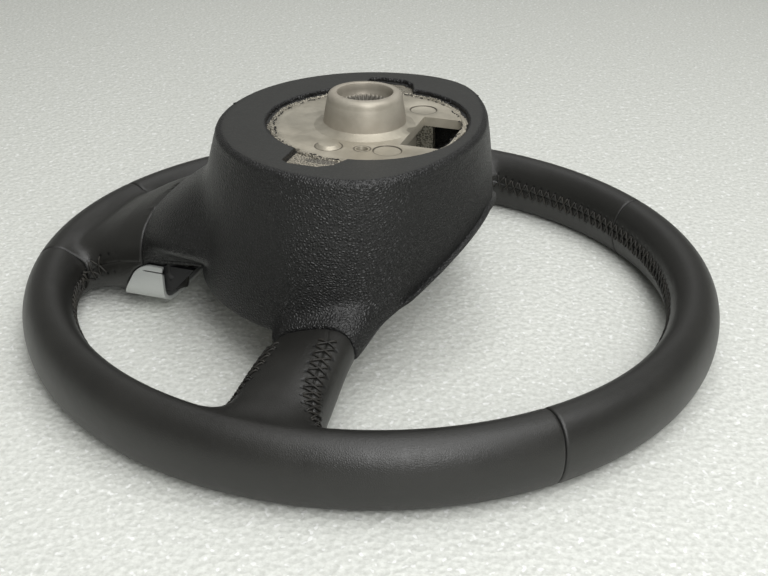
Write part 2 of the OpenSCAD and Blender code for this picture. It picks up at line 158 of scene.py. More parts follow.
@dataclass(frozen=True)
class WheelSize:
    """Sizes of the wheel in millimetres, the same as its solids have."""

    rim_d: float = 375.0
    grip_w: float = 26.2
    grip_h: float = 37.0
    grip_n: float = 2.1
    skin_t: float = 1.3
    hub_top: float = 113.0
    hub_r: float = 85.5
    hub_flat: float = 4.6
    chord_y: float = 57.5
    chord_bow: float = 240.0
    draft_round: float = 13.0
    draft_chord: float = 6.5
    edge_r: float = 4.0
    wall_t: float = 7.0
    cover_t: float = 3.0
    front_z: float = 34.0
    arch_z: float = 75.0
    lip_t: float = 2.2
    lip_h: float = 2.6
    open_r: float = 56.5
    open_flat: float = 7.0
    side_w: float = 43.4
    side_h: float = 25.0
    side_z: float = 30.0
    side_y: float = 3.0
    side_tilt: float = -18.0
    side_n: float = 2.6
    low_w: float = 93.0
    low_top: float = 60.0
    low_bottom: float = 5.0
    low_n: float = 2.7
    fillet: float = 15.0
    column_y: float = -5.0
    trim_len: float = 25.6
    trim_out: float = 11.6
    trim_z: float = 6.5
    trim_top: float = 31.0
    trim_lean: float = 11.6
    trim_t: float = 2.2
    trim_foot: float = 3.0
    trim_round: float = 6.0
    trim_gap: float = 0.6
    bush_d: float = 41.0
    bush_low: float = 88.0
    spline_d: float = 20.0
    spline_h: float = 0.9
    spline_count: int = 36
    side_seams: tuple = (44.8, 133.2)
    low_seams: tuple = (255.9, 287.3)

    @property
    def rim_r(self) -> float:
        """Radius of the grip's middle line."""
        return self.rim_d / 2 - self.grip_w / 2

    @property
    def rim_z(self) -> float:
        """Height of the grip's middle line."""
        return self.grip_h / 2

    @property
    def rim_in(self) -> float:
        """Radius of the rim's inner side."""
        return self.rim_r - self.grip_w / 2

    @property
    def side_tuck(self) -> float:
        """Distance of a side spoke's tucked edge from the middle."""
        return mix(self.hub_r + self.draft_round - 2, self.rim_in, 0.054)

    @property
    def low_tuck(self) -> float:
        """Distance of the bottom spoke's tucked edge from the middle."""
        return mix(self.hub_r + self.draft_round - 2 - self.hub_flat, self.rim_in, 0.36)

    @property
    def plate_top(self) -> float:
        """Height of the cast plate's back."""
        return self.hub_top - self.cover_t

    @property
    def trim_inner(self) -> float:
        """Place of the trim's edge towards the hub, along Y."""
        return self.trim_out - self.low_tuck

    def trim_outer(self, z: Array) -> Array:
        """Place of the trim's edge towards the rim, along Y, at a height."""
        low = self.trim_z + self.trim_foot
        up = np.clip((z - low) / (self.trim_top - low), 0, 1)
        under = np.clip((low - z) / low, 0, 1) * self.trim_foot
        bend = np.clip((z - self.trim_top) / self.trim_round + 1, 0, 1)
        corner = self.trim_round * (1 - np.sqrt(1 - bend ** 2))
        return self.trim_inner - self.trim_len + self.trim_lean * up ** 1.15 + under + corner


SIZE = WheelSize()


class LeatherSurface:
    """Outer surface of the leather: the rim and three spokes, run together over soft fillets."""

    joint_rise = 3.3
    run_out = 18.5
    run_start = 11.3
    run_length = 24.0
    run_widens = 9.0
    tuck_deep = 20.0
    stays_back = 0.25

    def __init__(self, size: WheelSize) -> None:
        """Keeps the sizes."""
        self.size = size

    def rim(self, p: Array) -> Array:
        """Distance of points from the rim alone."""
        z = self.size
        radius = np.hypot(p[:, 0], p[:, 1])
        return oval_gap(radius - z.rim_r, p[:, 2] - z.rim_z, z.grip_w / 2, z.grip_h / 2, z.grip_n)

    def side_spoke(self, p: Array, side: int) -> Array:
        """Distance of points from the spoke at +X (side 1) or -X (side -1)."""
        z = self.size
        x = p[:, 0] * side
        t = ease((x - z.side_tuck) / (z.rim_in - z.side_tuck))
        tilt = np.radians(z.side_tilt * (1 - t))
        dy = p[:, 1] - z.side_y
        dz = p[:, 2] - mix(z.side_z, z.rim_z, t)
        into_rim = self.into_rim(x)
        gap = oval_gap(dy * np.cos(tilt) - dz * np.sin(tilt), dy * np.sin(tilt) + dz * np.cos(tilt),
                       z.side_w / 2 + np.minimum(into_rim, self.run_widens),
                       mix(z.side_h / 2, z.rim_z - 1, t), z.side_n)
        return np.maximum(gap, z.side_tuck - self.tuck_deep - x) + into_rim

    def into_rim(self, reach: Array) -> Array:
        """Rising distance that makes a spoke run out into the rim without swelling it."""
        share = np.maximum(0, (reach - self.size.rim_in + self.run_start) / self.run_length)
        return self.run_out * share ** 2.7

    def low_spoke(self, p: Array) -> Array:
        """Distance of points from the spoke at 6 o'clock."""
        z = self.size
        reach = -p[:, 1]
        u = (reach - z.low_tuck) / (z.rim_in - z.low_tuck)
        crown = np.interp(u, [0, 0.4, 0.68, 0.86, 1], [0, 0.36, 0.66, 0.84, 1])
        top = mix(z.low_top, z.grip_h - 1, crown)
        bottom = mix(z.low_bottom, 1, np.clip(u, 0, 1))
        half_w = mix(z.low_w / 2, 42.5, np.clip(u, 0, 1))
        into_rim = self.into_rim(reach)
        gap = oval_gap(p[:, 0], p[:, 2] - (top + bottom) / 2, half_w + np.minimum(into_rim, self.run_widens),
                       (top - bottom) / 2, z.low_n)
        return np.maximum(gap, z.low_tuck - self.tuck_deep - reach) + into_rim

    def gap(self, p: Array) -> Array:
        """Distance of points from the whole covered body, negative inside."""
        found = self.rim(p)
        for spoke in (self.side_spoke(p, 1), self.side_spoke(p, -1), self.low_spoke(p)):
            found = soft_min(found, spoke, self.size.fillet)
        return found

    def normal(self, p: Array) -> tuple[Array, Array]:
        """Slope of the distance at points.

        Returns:
            The unit outward directions and the lengths of the slopes.
        """
        slope = slope_of(self.gap, p, 0.02)
        length = np.maximum(np.linalg.norm(slope, axis=1), 0.2)
        return slope / length[:, None], length

    def onto(self, p: Array, inset: float = 0.0, rounds: int = 4) -> Array:
        """Points moved onto the surface, or onto one that lies inside it by an inset."""
        for _ in range(rounds):
            direction, length = self.normal(p)
            p = p - direction * np.clip((self.gap(p) + inset) / length, -4, 4)[:, None]
        return p

    def seam(self, p: Array, angle: float) -> Array:
        """Distance of points past the seam across the rim at a direction in degrees."""
        turn = math.radians(angle)
        return p[:, 1] * math.cos(turn) - p[:, 0] * math.sin(turn)

    def low_seam(self, p: Array, side: int) -> Array:
        """Distance of points outside the bottom panel, which takes in its whole spoke."""
        past = self.seam(p, self.size.low_seams[side > 0]) * side
        spoke = np.maximum(self.joint_rise - self.rim(p), p[:, 1] + 100)
        return soft_min(past, spoke, 1.2)

    def side_end(self, p: Array, side: int) -> Array:
        """Distance of points past a side spoke's tucked edge, towards the hub."""
        return np.minimum(self.size.side_tuck + self.stays_back - p[:, 0] * side, 60 - np.abs(p[:, 1]))

    def low_end(self, p: Array) -> Array:
        """Distance of points past the bottom spoke's tucked edge, towards the hub."""
        return np.minimum(self.size.low_tuck + self.stays_back + p[:, 1], 70 - np.abs(p[:, 0]))

    def recess(self, p: Array, lining: float = 0.0) -> Array:
        """Distance of points inside the recess for the trim, grown by a lining."""
        z = self.size
        grow = z.trim_gap + lining
        heights = np.linspace(0, z.trim_top, 30)
        side = np.stack([z.trim_outer(heights), heights], axis=1)
        far = z.trim_inner + 30
        corners = np.concatenate([[[far, -9], [side[0, 0], -9]], side, [[far, z.trim_top]]])
        return grow - outline_gap(p[:, 1:], corners)

    def over_skin(self, field: Callable[[Array], Array], p: Array) -> Array:
        """A field over its slope along the skin, so that it becomes a distance over the leather."""
        out, _ = self.normal(p)
        slope = slope_of(field, p, 0.05)
        slope -= out * np.sum(slope * out, axis=1, keepdims=True)
        return field(p) / np.maximum(np.linalg.norm(slope, axis=1), 0.15)


class LacePath:
    """Line along which the leather's edges meet and are laced, with its frame over the skin."""

    step = 0.7

    def __init__(self, surface: LeatherSurface, guides: Sequence[Sequence[float]], plain: tuple[float, float],
                 pitch: float, tight: tuple[float, float, float, float]) -> None:
        """Lays the line.

        Args:
            surface: the leather's surface.
            guides: points that the line passes, in millimetres.
            plain: lengths at both ends that are only a seam.
            pitch: distance from one cross to the next.
            tight: start, end and pitch of a stretch with closer crosses, and its softness.
        """
        self.surface = surface
        line = surface.onto(np.array(guides, float), 0.0, 8)
        for _ in range(3):
            line = self.even(line, self.step)
            for _ in range(14):
                line[1:-1] = line[1:-1] * 0.5 + (line[:-2] + line[2:]) * 0.25
            line = surface.onto(line, 0.0, 4)
        self.line = self.even(line, self.step)
        self.length = self.step * (len(self.line) - 1)
        self.out, _ = surface.normal(self.line)
        ahead = np.gradient(self.line, axis=0)
        ahead -= self.out * np.sum(ahead * self.out, axis=1, keepdims=True)
        self.ahead = ahead / np.linalg.norm(ahead, axis=1, keepdims=True)
        self.across = np.cross(self.out, self.ahead)
        place = np.arange(len(self.line)) * self.step
        start, end, closer, soft = tight
        share = ease((place - start + soft) / soft) * ease((end + soft - place) / soft)
        laced = (place >= plain[0]) & (place <= self.length - plain[1])
        self.crosses = np.cumsum(np.where(laced, self.step / mix(pitch, closer, share), 0))
        self.count = int(self.crosses[-1])
        self.laced = laced
        self.place = place

    @staticmethod
    def even(line: Array, step: float) -> Array:
        """The same line with evenly spaced points."""
        along = np.concatenate([[0], np.cumsum(np.linalg.norm(np.diff(line, axis=0), axis=1))])
        wanted = np.arange(0, along[-1], step)
        return np.stack([np.interp(wanted, along, line[:, k]) for k in range(3)], axis=1)

    def at(self, crosses: Array, across: Array, height: Array) -> tuple[Array, Array, Array, Array]:
        """Points over the skin beside the line.

        Args:
            crosses: places along the line, counted in crosses.
            across: distances to the line's side.
            height: heights over the leather.

        Returns:
            The points and their directions ahead, across and out.
        """
        place = np.interp(crosses, self.crosses[self.laced], self.place[self.laced])
        frame = [np.stack([np.interp(place, self.place, track[:, k]) for k in range(3)], axis=1)
                 for track in (self.line, self.ahead, self.across)]
        base = self.surface.onto(frame[0] + frame[2] * across[:, None], 0.0, 3)
        out, _ = self.surface.normal(base)
        return base + out * height[:, None], frame[1], frame[2], out

    def beside(self, points: Array) -> tuple[Array, Array, Array]:
        """Where points lie beside the line.

        Returns:
            Distances across, 30 where the line is far, the cross counts, and whether the line is laced there.
        """
        tree = KDTree(len(self.line))
        for index, spot in enumerate(self.line):
            tree.insert(spot, index)
        tree.balance()
        low, high = self.line.min(0) - 9, self.line.max(0) + 9
        across = np.full(len(points), 30.0)
        count = np.zeros(len(points))
        laced = np.zeros(len(points), bool)
        for k in np.nonzero(np.all((points > low) & (points < high), axis=1))[0]:
            _, index, gap = tree.find(points[k])
            if gap < 9:
                apart = points[k] - self.line[index]
                ahead = float(apart @ self.ahead[index])
                if abs(ahead) < 1.5:
                    across[k] = apart @ self.across[index]
                    rate = self.crosses[min(index + 1, len(self.line) - 1)] - self.crosses[max(index - 1, 0)]
                    count[k] = self.crosses[index] + ahead * rate / (2 * self.step)
                    laced[k] = self.laced[index]
        return across, count, laced


def mirrored(guides: Sequence[Sequence[float]]) -> list:
    """Points on the other side of the wheel."""
    return [(-x, y, z) for x, y, z in guides]


def lace_paths(surface: LeatherSurface) -> list[LacePath]:
    """The three laced joints: one over 12 o'clock and one on either side of the bottom spoke."""
    s = surface.size
    arc = lambda start, end, z: [(s.rim_in * math.cos(turn), s.rim_in * math.sin(turn), z)
                                 for turn in (math.radians(t) for t in np.arange(start, end, 4))]
    upper = [(101, 11.2, 45.4), (103.4, 11.9, 45.1), (109.8, 14.3, 44.2), (117, 15.1, 43.6), (124, 16.3, 42.8),
             (135, 18.4, 41.2), (143, 20.8, 39.2), (148, 24.5, 35), (150, 28.5, 28), (154, 35, 22)]
    over = upper + arc(16, 90, 19.5)
    over += mirrored(over)[::-1]
    lower = [(101, -14.4, 38), (110, -15.6, 37), (120, -16.2, 36), (130, -16.8, 34.5), (139, -18.4, 32),
             (146, -22, 28), (151, -29, 23.5), (155.5, -38, 20.5)]
    down = [(p[0], -p[1], p[2]) for p in arc(16, 64, 19.5)]
    foot = [(64, -148, 18), (56, -151.5, 15.8), (49.5, -155, 15), (45.5, -155.5, 18.2), (44, -150.5, 22.4),
            (44, -146.2, 24.9), (44.4, -140, 27.5), (44.8, -133, 30), (45.2, -125, 31.6), (45.5, -118, 32.5)]
    side = lower + down + foot
    tight = (42, 62, 3.6, 8)
    return [LacePath(surface, guides, plain, LACE_PITCH, tight)
            for guides, plain in ((over, (9, 9)), (side, (8, 14)), (mirrored(side), (8, 14)))]


class FoamSurface:
    """Outer and inner walls of the moulded hub shroud, along directions in degrees."""

    past_tuck = 9.0
    blend_p = 22
    corner_p = 16
    groove = 0.75
    notch = ((51.2, -24.0), (67.5, -24.0), (70.5, -20.0), (70.5, -5.0), (65.5, 1.5), (56.2, 5.2))
    arch_low = 29.0
    arch_reach = 32.0

    def __init__(self, size: WheelSize) -> None:
        """Keeps the sizes."""
        self.size = size

    def depth_growth(self, z: Array, reach: float) -> Array:
        """Share of the wall's spread that is reached at a height."""
        return 1 - np.exp(-np.maximum(0, self.size.hub_top - z - 2) / reach)

    def hub_wall(self, q: Array, z: Array) -> Array:
        """Radius of the hub: a round wall, cut off by a shallow arc at 12 o'clock."""
        s = self.size
        turn = np.radians(q)
        round_r = (s.hub_r - s.hub_flat * (1 - np.cos(2 * turn)) / 2
                   + s.draft_round * self.depth_growth(z, 42) * mix(1, 0.15, ease((q + 10) / 35)))
        y = s.chord_y + s.draft_chord * self.depth_growth(z, 32)
        up = np.sin(turn)
        chord = 2 * y / np.maximum(0.001, up + np.sqrt(np.maximum(
            0, up ** 2 + 4 * np.cos(turn) ** 2 * y / s.chord_bow)))
        cut = np.where(q > -20, chord ** -self.corner_p, 0)
        return (round_r ** -self.corner_p + cut) ** (-1 / self.corner_p)

    def arm_reach(self, q: Array, z: Array, arm: Sequence[float]) -> Array:
        """How far the shoulder of a spoke reaches."""
        turn, tuck, offset, middle, half_w, half_h, n, tilt, slope = arm
        d = np.radians(q - turn)
        near = np.abs(q - turn) < 70
        d = np.where(near, d, 0)
        v = tuck * np.tan(d) - offset
        h = z - middle
        c, s = math.cos(math.radians(tilt)), math.sin(math.radians(tilt))
        oval = (np.abs((v * c - h * s) / half_w) ** n + np.abs((v * s + h * c) / half_h) ** n) ** (1 / n)
        reach = np.maximum(1, np.minimum(tuck + self.past_tuck, tuck + slope * (1 - oval)) / np.cos(d))
        return np.where(near, reach, 1.0)

    def wall(self, q: Array, z: Array) -> Array:
        """Radius of the shroud's outer wall with its shoulders, cut square at the tucked edges."""
        s = self.size
        side = (0, s.side_tuck, s.side_y, s.side_z, s.side_w / 2, s.side_h / 2, s.side_n, s.side_tilt, 34)
        low = (-90, s.low_tuck, 0, (s.low_top + s.low_bottom) / 2, s.low_w / 2,
               (s.low_top - s.low_bottom) / 2, s.low_n, 0, 36 + 130 * np.exp(-((z - 31) / 9) ** 2))
        p = self.blend_p
        r = (self.hub_wall(q, z) ** p + self.arm_reach(q, z, side) ** p
             + self.arm_reach(q, z, low) ** p) ** (1 / p)
        turn = np.radians(q)
        side_cut = (s.side_tuck - self.groove) / np.maximum(0.05, np.cos(turn))
        low_cut = (s.low_tuck - self.groove) / np.maximum(0.05, -np.sin(turn))
        return soft_min(soft_min(r, side_cut, 1.6), low_cut, 1.6)

    def front_edge(self, q: Array) -> Array:
        """Height of the shroud's front edge."""
        s = self.size
        low = s.side_z - s.side_h / 2
        arch = mix(s.arch_z, self.arch_low, np.exp(-np.maximum(0, q - 13.5) / self.arch_reach))
        up = mix(low, arch, ease((q - 8) / 4))
        down = mix(mix(low, s.front_z, ease((-q - 8) / 4)), s.trim_top + 1.9, ease((-q - 68) / 7))
        return np.where(q > 0, up, down)

    def lip(self, q: Array) -> Array:
        """How far the ledge along the front edge stands out."""
        return self.size.lip_t * ease((q - 26) / 6)

    def opening(self, q: Array, t: Array) -> Array:
        """Radius of the opening in the back face, with its two side notches."""
        s = self.size
        r = s.open_r - np.where(q > 0, s.open_flat * np.sin(np.radians(q)) ** 2, 0)
        corners = np.array(self.notch)
        angles = np.degrees(np.arctan2(corners[:, 1], corners[:, 0]))
        for k in range(len(corners) - 1):
            a, b = corners[k], corners[k + 1]
            inside = (q >= angles[k]) & (q <= angles[k + 1])
            c, w = np.cos(np.radians(q)), np.sin(np.radians(q))
            along = b - a
            reach = (a[0] * along[1] - a[1] * along[0]) / (c * along[1] - w * along[0] + 1e-9)
            r = np.where(inside, np.maximum(r, reach), r)
        return r


# ---------------------------------------------------------------- bench tools


class Bench:
    """The few mesh operations that the pieces are made with."""

    @staticmethod
    def clear() -> None:
        """Leaves nothing selected."""
        for obj in bpy.context.view_layer.objects:
            obj.select_set(False)

    @staticmethod
    def take(obj: Obj) -> Obj:
        """Selects one object alone and makes it active."""
        Bench.clear()
        obj.select_set(True)
        bpy.context.view_layer.objects.active = obj
        return obj

    @staticmethod
    def fresh(name: str) -> Obj:
        """The primitive that was just added, renamed and put in its mesh's place."""
        obj = bpy.context.active_object
        obj.name = obj.data.name = name
        obj.data.transform(obj.matrix_world)
        obj.matrix_world = Matrix.Identity(4)
        return obj

    @staticmethod
    def points(obj: Obj) -> Array:
        """Vertices in millimetres."""
        flat = np.empty(len(obj.data.vertices) * 3, np.float32)
        obj.data.vertices.foreach_get("co", flat)
        return flat.reshape(-1, 3).astype(float) / MM

    @staticmethod
    def move(obj: Obj, points: Array) -> None:
        """Puts the vertices at points given in millimetres."""
        obj.data.vertices.foreach_set("co", (points * MM).astype(np.float32).ravel())
        obj.data.update()

    @staticmethod
    def pick(obj: Obj, mask: Array) -> None:
        """Enters edit mode with the masked vertices selected."""
        Bench.take(obj)
        mesh = obj.data
        mesh.polygons.foreach_set("select", np.zeros(len(mesh.polygons), bool))
        mesh.edges.foreach_set("select", np.zeros(len(mesh.edges), bool))
        mesh.vertices.foreach_set("select", np.asarray(mask, bool))
        bpy.context.tool_settings.mesh_select_mode = (True, False, False)
        bpy.ops.object.mode_set(mode="EDIT")
        bpy.ops.mesh.select_mode(type="VERT")

    @staticmethod
    def edit(obj: Obj, kept: str = "SELECT") -> None:
        """Enters edit mode with everything selected, or with nothing."""
        Bench.take(obj)
        bpy.ops.object.mode_set(mode="EDIT")
        bpy.ops.mesh.select_all(action=kept)

    @staticmethod
    def done() -> None:
        """Leaves edit mode."""
        bpy.ops.object.mode_set(mode="OBJECT")

    @staticmethod
    def twin(obj: Obj, name: str) -> Obj:
        """A copy of an object with its own mesh."""
        made = obj.copy()
        made.data = obj.data.copy()
        made.name = made.data.name = name
        bpy.context.scene.collection.objects.link(made)
        return made

    @staticmethod
    def slice(obj: Obj, values: Array, levels: Sequence[float], drop: float | None = None,
              near: float = 1e6) -> None:
        """Cuts a mesh along levels of a value that its vertices carry, straight or bent.

        Args:
            obj: the mesh.
            values: one value a vertex, in millimetres.
            levels: values along which new edges run.
            drop: value past which the mesh is removed.
            near: only faces whose values all lie under this are cut.
        """
        home = Bench.points(obj)
        layer = obj.data.attributes.new("home", "FLOAT_VECTOR", "POINT")
        layer.data.foreach_set("vector", home.astype(np.float32).ravel())
        x, y, z = home.T
        Bench.move(obj, np.stack([values, y + 0.37 * x, z - 0.29 * x], axis=1))
        for level in ([] if drop is None else [drop]) + list(levels):
            Bench.pick(obj, np.abs(Bench.points(obj)[:, 0]) < near)
            bpy.ops.mesh.bisect(plane_co=(level * MM, 0, 0), plane_no=(1, 0, 0), threshold=1e-7,
                                clear_outer=level == drop)
            Bench.done()
        layer = obj.data.attributes["home"]
        flat = np.empty(len(obj.data.vertices) * 3, np.float32)
        layer.data.foreach_get("vector", flat)
        obj.data.attributes.remove(layer)
        Bench.move(obj, flat.reshape(-1, 3).astype(float))

    @staticmethod
    def apply(obj: Obj, kind: str, **values: object) -> None:
        """Adds a modifier with its values and applies it."""
        Bench.take(obj)
        modifier = obj.modifiers.new(kind.lower(), kind)
        for name, value in values.items():
            setattr(modifier, name, value)
        bpy.ops.object.modifier_apply(modifier=modifier.name)

    @staticmethod
    def join(objects: Sequence[Obj], name: str) -> Obj:
        """Joins meshes into the first one."""
        Bench.clear()
        for obj in objects:
            obj.select_set(True)
        bpy.context.view_layer.objects.active = objects[0]
        bpy.ops.object.join()
        objects[0].name = objects[0].data.name = name
        return objects[0]

    @staticmethod
    def smooth(obj: Obj, angle: float = 180.0) -> None:
        """Shades a mesh smooth below an angle between its faces."""
        Bench.take(obj)
        bpy.ops.object.shade_smooth_by_angle(angle=math.radians(angle))

    @staticmethod
    def outward(obj: Obj, merge: float = 0.001) -> None:
        """Merges doubles and turns the faces outwards."""
        Bench.edit(obj)
        bpy.ops.mesh.remove_doubles(threshold=merge * MM)
        bpy.ops.mesh.normals_make_consistent(inside=False)
        Bench.done()

    @staticmethod
    def wrap(name: str, loops: Array, closed: bool = True, marks: dict | None = None) -> Obj:
        """Wraps a grid into a skin through rows of points.

        Args:
            name: the mesh's name.
            loops: points in millimetres, as rows, columns and coordinates.
            closed: whether the rows and the columns run back to their first.
            marks: values that the points carry, by name.

        Returns:
            The mesh, with its doubles merged and its faces turned outwards.
        """
        if closed:
            loops = np.concatenate([loops, loops[:1]])
            loops = np.concatenate([loops, loops[:, :1]], axis=1)
        rows, columns = loops.shape[:2]
        Bench.clear()
        bpy.ops.mesh.primitive_grid_add(x_subdivisions=columns - 1, y_subdivisions=rows - 1, size=0.2)
        made = Bench.fresh(name)
        Bench.move(made, loops.reshape(-1, 3))
        for label, values in (marks or {}).items():
            Bench.mark(made, label, values)
        Bench.outward(made, 0.0005)
        return made

    @staticmethod
    def mark(obj: Obj, name: str, values: Array) -> None:
        """Stores one value a vertex as an attribute that the finish reads."""
        layer = obj.data.attributes.new(name, "FLOAT", "POINT")
        layer.data.foreach_set("value", np.asarray(values, np.float32))

    @staticmethod
    def deliver(obj: Obj, finish: Material, slot: str, *nodes: str) -> None:
        """Dresses a finished piece, lets it ride on the wheel and stand for its solids."""
        obj.data.materials.clear()
        obj.data.materials.append(finish)
        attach(obj, BODY)
        if nodes:
            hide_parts(*nodes)
        log.info("piece %s: %d faces, slot %s", obj.name, len(obj.data.polygons), slot)


# ---------------------------------------------------------------- finishes


class NodeBench:
    """A node tree with short ways to add and join its nodes."""

    def __init__(self, tree: Tree) -> None:
        """Takes the tree."""
        self.tree = tree

    def node(self, kind: str, inputs: dict | None = None, **values: object) -> bpy.types.Node:
        """Adds a node.

        Args:
            kind: the node's type.
            inputs: values or sockets for its inputs, by name or number.
            **values: properties of the node.

        Returns:
            The node.
        """
        made = self.tree.nodes.new(kind)
        for name, value in values.items():
            setattr(made, name, value)
        for name, value in (inputs or {}).items():
            self.feed(made.inputs[name], value)
        return made

    def feed(self, socket: Socket, value: object) -> None:
        """Links a socket to another or sets its value."""
        if isinstance(value, Socket):
            self.tree.links.new(value, socket)
        else:
            socket.default_value = value

    def math(self, operation: str, *values: object) -> Socket:
        """One sum of one, two or three values."""
        return self.node("ShaderNodeMath", dict(enumerate(values)), operation=operation).outputs[0]

    def plus(self, a: object, b: object) -> Socket:
        """Sum of two values."""
        return self.math("ADD", a, b)

    def minus(self, a: object, b: object) -> Socket:
        """Difference of two values."""
        return self.math("SUBTRACT", a, b)

    def times(self, a: object, b: object) -> Socket:
        """Product of two values."""
        return self.math("MULTIPLY", a, b)

    def length(self, a: object, b: object) -> Socket:
        """Length of a flat vector."""
        return self.math("SQRT", self.plus(self.math("POWER", a, 2.0), self.math("POWER", b, 2.0)))

    def ramp(self, value: Socket, low: float, high: float, out_low: float = 0.0,
             out_high: float = 1.0) -> Socket:
        """Value carried from one range to another, held at both ends."""
        return self.node("ShaderNodeMapRange", {"Value": value, "From Min": low, "From Max": high,
                                                "To Min": out_low, "To Max": out_high}, clamp=True).outputs[0]

    def blend(self, share: object, a: object, b: object) -> Socket:
        """Mix of two colours."""
        return self.node("ShaderNodeMix", {0: share, 6: a, 7: b}, data_type="RGBA").outputs[2]

    def place(self) -> Socket:
        """The object's own coordinates, in metres."""
        return self.node("ShaderNodeTexCoord").outputs["Object"]

    def split(self, x: float = 0.0, y: float = 0.0) -> Socket:
        """The three coordinates from a place on the plate, which is given in millimetres."""
        there = self.node("ShaderNodeMapping", {"Vector": self.place(), "Location": (-x * MM, -y * MM, 0)})
        return self.node("ShaderNodeSeparateXYZ", {"Vector": there.outputs[0]}).outputs

    def noise(self, scale: float, detail: float = 3.0, where: object = None,
              rough: float = 0.5) -> Socket:
        """Soft noise, with its scale in features a metre."""
        return self.node("ShaderNodeTexNoise", {"Vector": where or self.place(), "Scale": scale,
                                                "Detail": detail, "Roughness": rough}).outputs[0]

    def attribute(self, name: str) -> Socket:
        """A value that is stored on the piece's vertices."""
        return self.node("ShaderNodeAttribute", attribute_name=name).outputs["Fac"]

    def effect(self, group: Tree, **inputs: object) -> bpy.types.Node:
        """Places a shared effect with its own values."""
        return self.node("ShaderNodeGroup", inputs, node_tree=group)

    def mottle(self, effects: "Effects", scale: float) -> Socket:
        """Slow unevenness from 0 to 1."""
        return self.effect(effects.mottle, Scale=scale).outputs[0]

    def bump(self, height: object, distance: float, strength: float = 1.0,
             under: object = None) -> Socket:
        """Normal that a height gives, over another normal."""
        inputs = {"Height": height, "Distance": distance, "Strength": strength}
        if under is not None:
            inputs["Normal"] = under
        return self.node("ShaderNodeBump", inputs).outputs[0]


class Recipe(NodeBench):
    """One material's node tree, with its Principled shader."""

    def __init__(self, name: str) -> None:
        """Starts an empty material with its shader."""
        self.material = bpy.data.materials.new(name)
        self.material.use_nodes = True
        super().__init__(self.material.node_tree)
        self.tree.nodes.clear()
        output = self.node("ShaderNodeOutputMaterial")
        self.shader = self.node("ShaderNodeBsdfPrincipled")
        self.feed(output.inputs[0], self.shader.outputs[0])

    def finish(self, **inputs: object) -> Material:
        """Feeds the shader's sockets, named with underscores for spaces, and gives the material."""
        for name, value in inputs.items():
            self.feed(self.shader.inputs[name.replace("_", " ")], value)
        return self.material


class Effects:
    """Shared effects, each built once as a node group."""

    def __init__(self) -> None:
        """Builds the groups."""
        self.grain = self.build_grain()
        self.mottle = self.build_mottle()

    @staticmethod
    def start(name: str, inputs: dict[str, float], outputs: Sequence[str]) -> tuple:
        """Makes a group with its named sockets.

        Returns:
            The group's node bench, its input sockets and its output sockets.
        """
        group = bpy.data.node_groups.new(name, "ShaderNodeTree")
        for label, value in inputs.items():
            socket = group.interface.new_socket(name=label, in_out="INPUT", socket_type="NodeSocketFloat")
            socket.default_value = value
        for label in outputs:
            group.interface.new_socket(name=label, in_out="OUTPUT", socket_type="NodeSocketFloat")
        g = NodeBench(group)
        return g, g.node("NodeGroupInput").outputs, g.node("NodeGroupOutput").inputs

    def build_grain(self) -> Tree:
        """Leather-like grain: rounded pebbles with creases between them, and pores."""
        g, given, wanted = self.start("pebble_grain", {"Cells": 700.0, "Crease": 0.28}, ("Height", "Crease"))
        place = g.place()
        warp = g.node("ShaderNodeTexNoise", {"Vector": place, "Scale": 260, "Detail": 2}).outputs["Color"]
        push = g.node("ShaderNodeVectorMath", {0: warp, 1: (0.0012,) * 3, 2: place}, operation="MULTIPLY_ADD")
        cells = g.node("ShaderNodeTexVoronoi", {"Vector": push.outputs[0], "Scale": given["Cells"]},
                       feature="DISTANCE_TO_EDGE")
        edge = {"Value": cells.outputs["Distance"], "From Max": given["Crease"]}
        crease = g.node("ShaderNodeMapRange", edge, interpolation_type="SMOOTHSTEP").outputs[0]
        fine = g.noise(2600, 2, place)
        g.feed(wanted["Height"], g.math("MULTIPLY_ADD", fine, 0.22, crease))
        g.feed(wanted["Crease"], crease)
        return g.tree

    def build_mottle(self) -> Tree:
        """Slow unevenness of colour and gloss over a surface, from 0 to 1."""
        g, given, wanted = self.start("slow_mottle", {"Scale": 40.0}, ("Value",))
        noise = g.node("ShaderNodeTexNoise", {"Vector": g.place(), "Scale": given["Scale"], "Detail": 5,
                                              "Roughness": 0.6})
        g.feed(wanted["Value"], g.ramp(noise.outputs[0], 0.3, 0.7))
        return g.tree


@dataclass(frozen=True)
class Leather:
    """Smooth black leather, drawn tight, with a faint fine grain."""

    colour: tuple = (0.0125, 0.0123, 0.011, 1)
    worn: tuple = (0.018, 0.0177, 0.0155, 1)
    roughness: float = 0.4
    grain_depth: float = 0.00005

    def build(self, effects: Effects) -> Material:
        """Makes the material."""
        r = Recipe("smooth_leather")
        mottle = r.mottle(effects, 28.0)
        grain = r.effect(effects.grain, Cells=1100.0, Crease=0.3)
        seam = r.attribute("seam")
        colour = r.blend(mottle, self.colour, self.worn)
        # The turned-in seam edges are painted near-black: painted shade in the seam crease. The same mask also
        # makes them rougher.
        colour = r.blend(seam, colour, (0.004, 0.004, 0.004, 1))
        rough = r.ramp(mottle, 0, 1, self.roughness - 0.03, self.roughness + 0.04)
        rough = r.plus(rough, r.times(seam, 0.25))
        apart = r.math("ABSOLUTE", r.minus(r.math("ABSOLUTE", r.attribute("lace")), LACE_REACH))
        along = r.times(r.minus(r.math("FRACT", r.plus(r.attribute("crosses"), 0.5)), 0.5), LACE_PITCH)
        hole = r.ramp(r.length(apart, along), 0.55, 1.25, 1.0, 0.0)
        # The stitch holes are painted near-black: painted shade inside the holes.
        colour = r.blend(hole, colour, (0.002, 0.002, 0.002, 1))
        normal = r.bump(r.noise(90, 3), 0.0008, 0.25)
        normal = r.bump(r.minus(1.0, hole), 0.0003, 0.4, normal)
        normal = r.bump(grain.outputs["Height"], self.grain_depth, 0.8, normal)
        return r.finish(Base_Color=colour, Roughness=rough, Normal=normal, IOR=1.56)


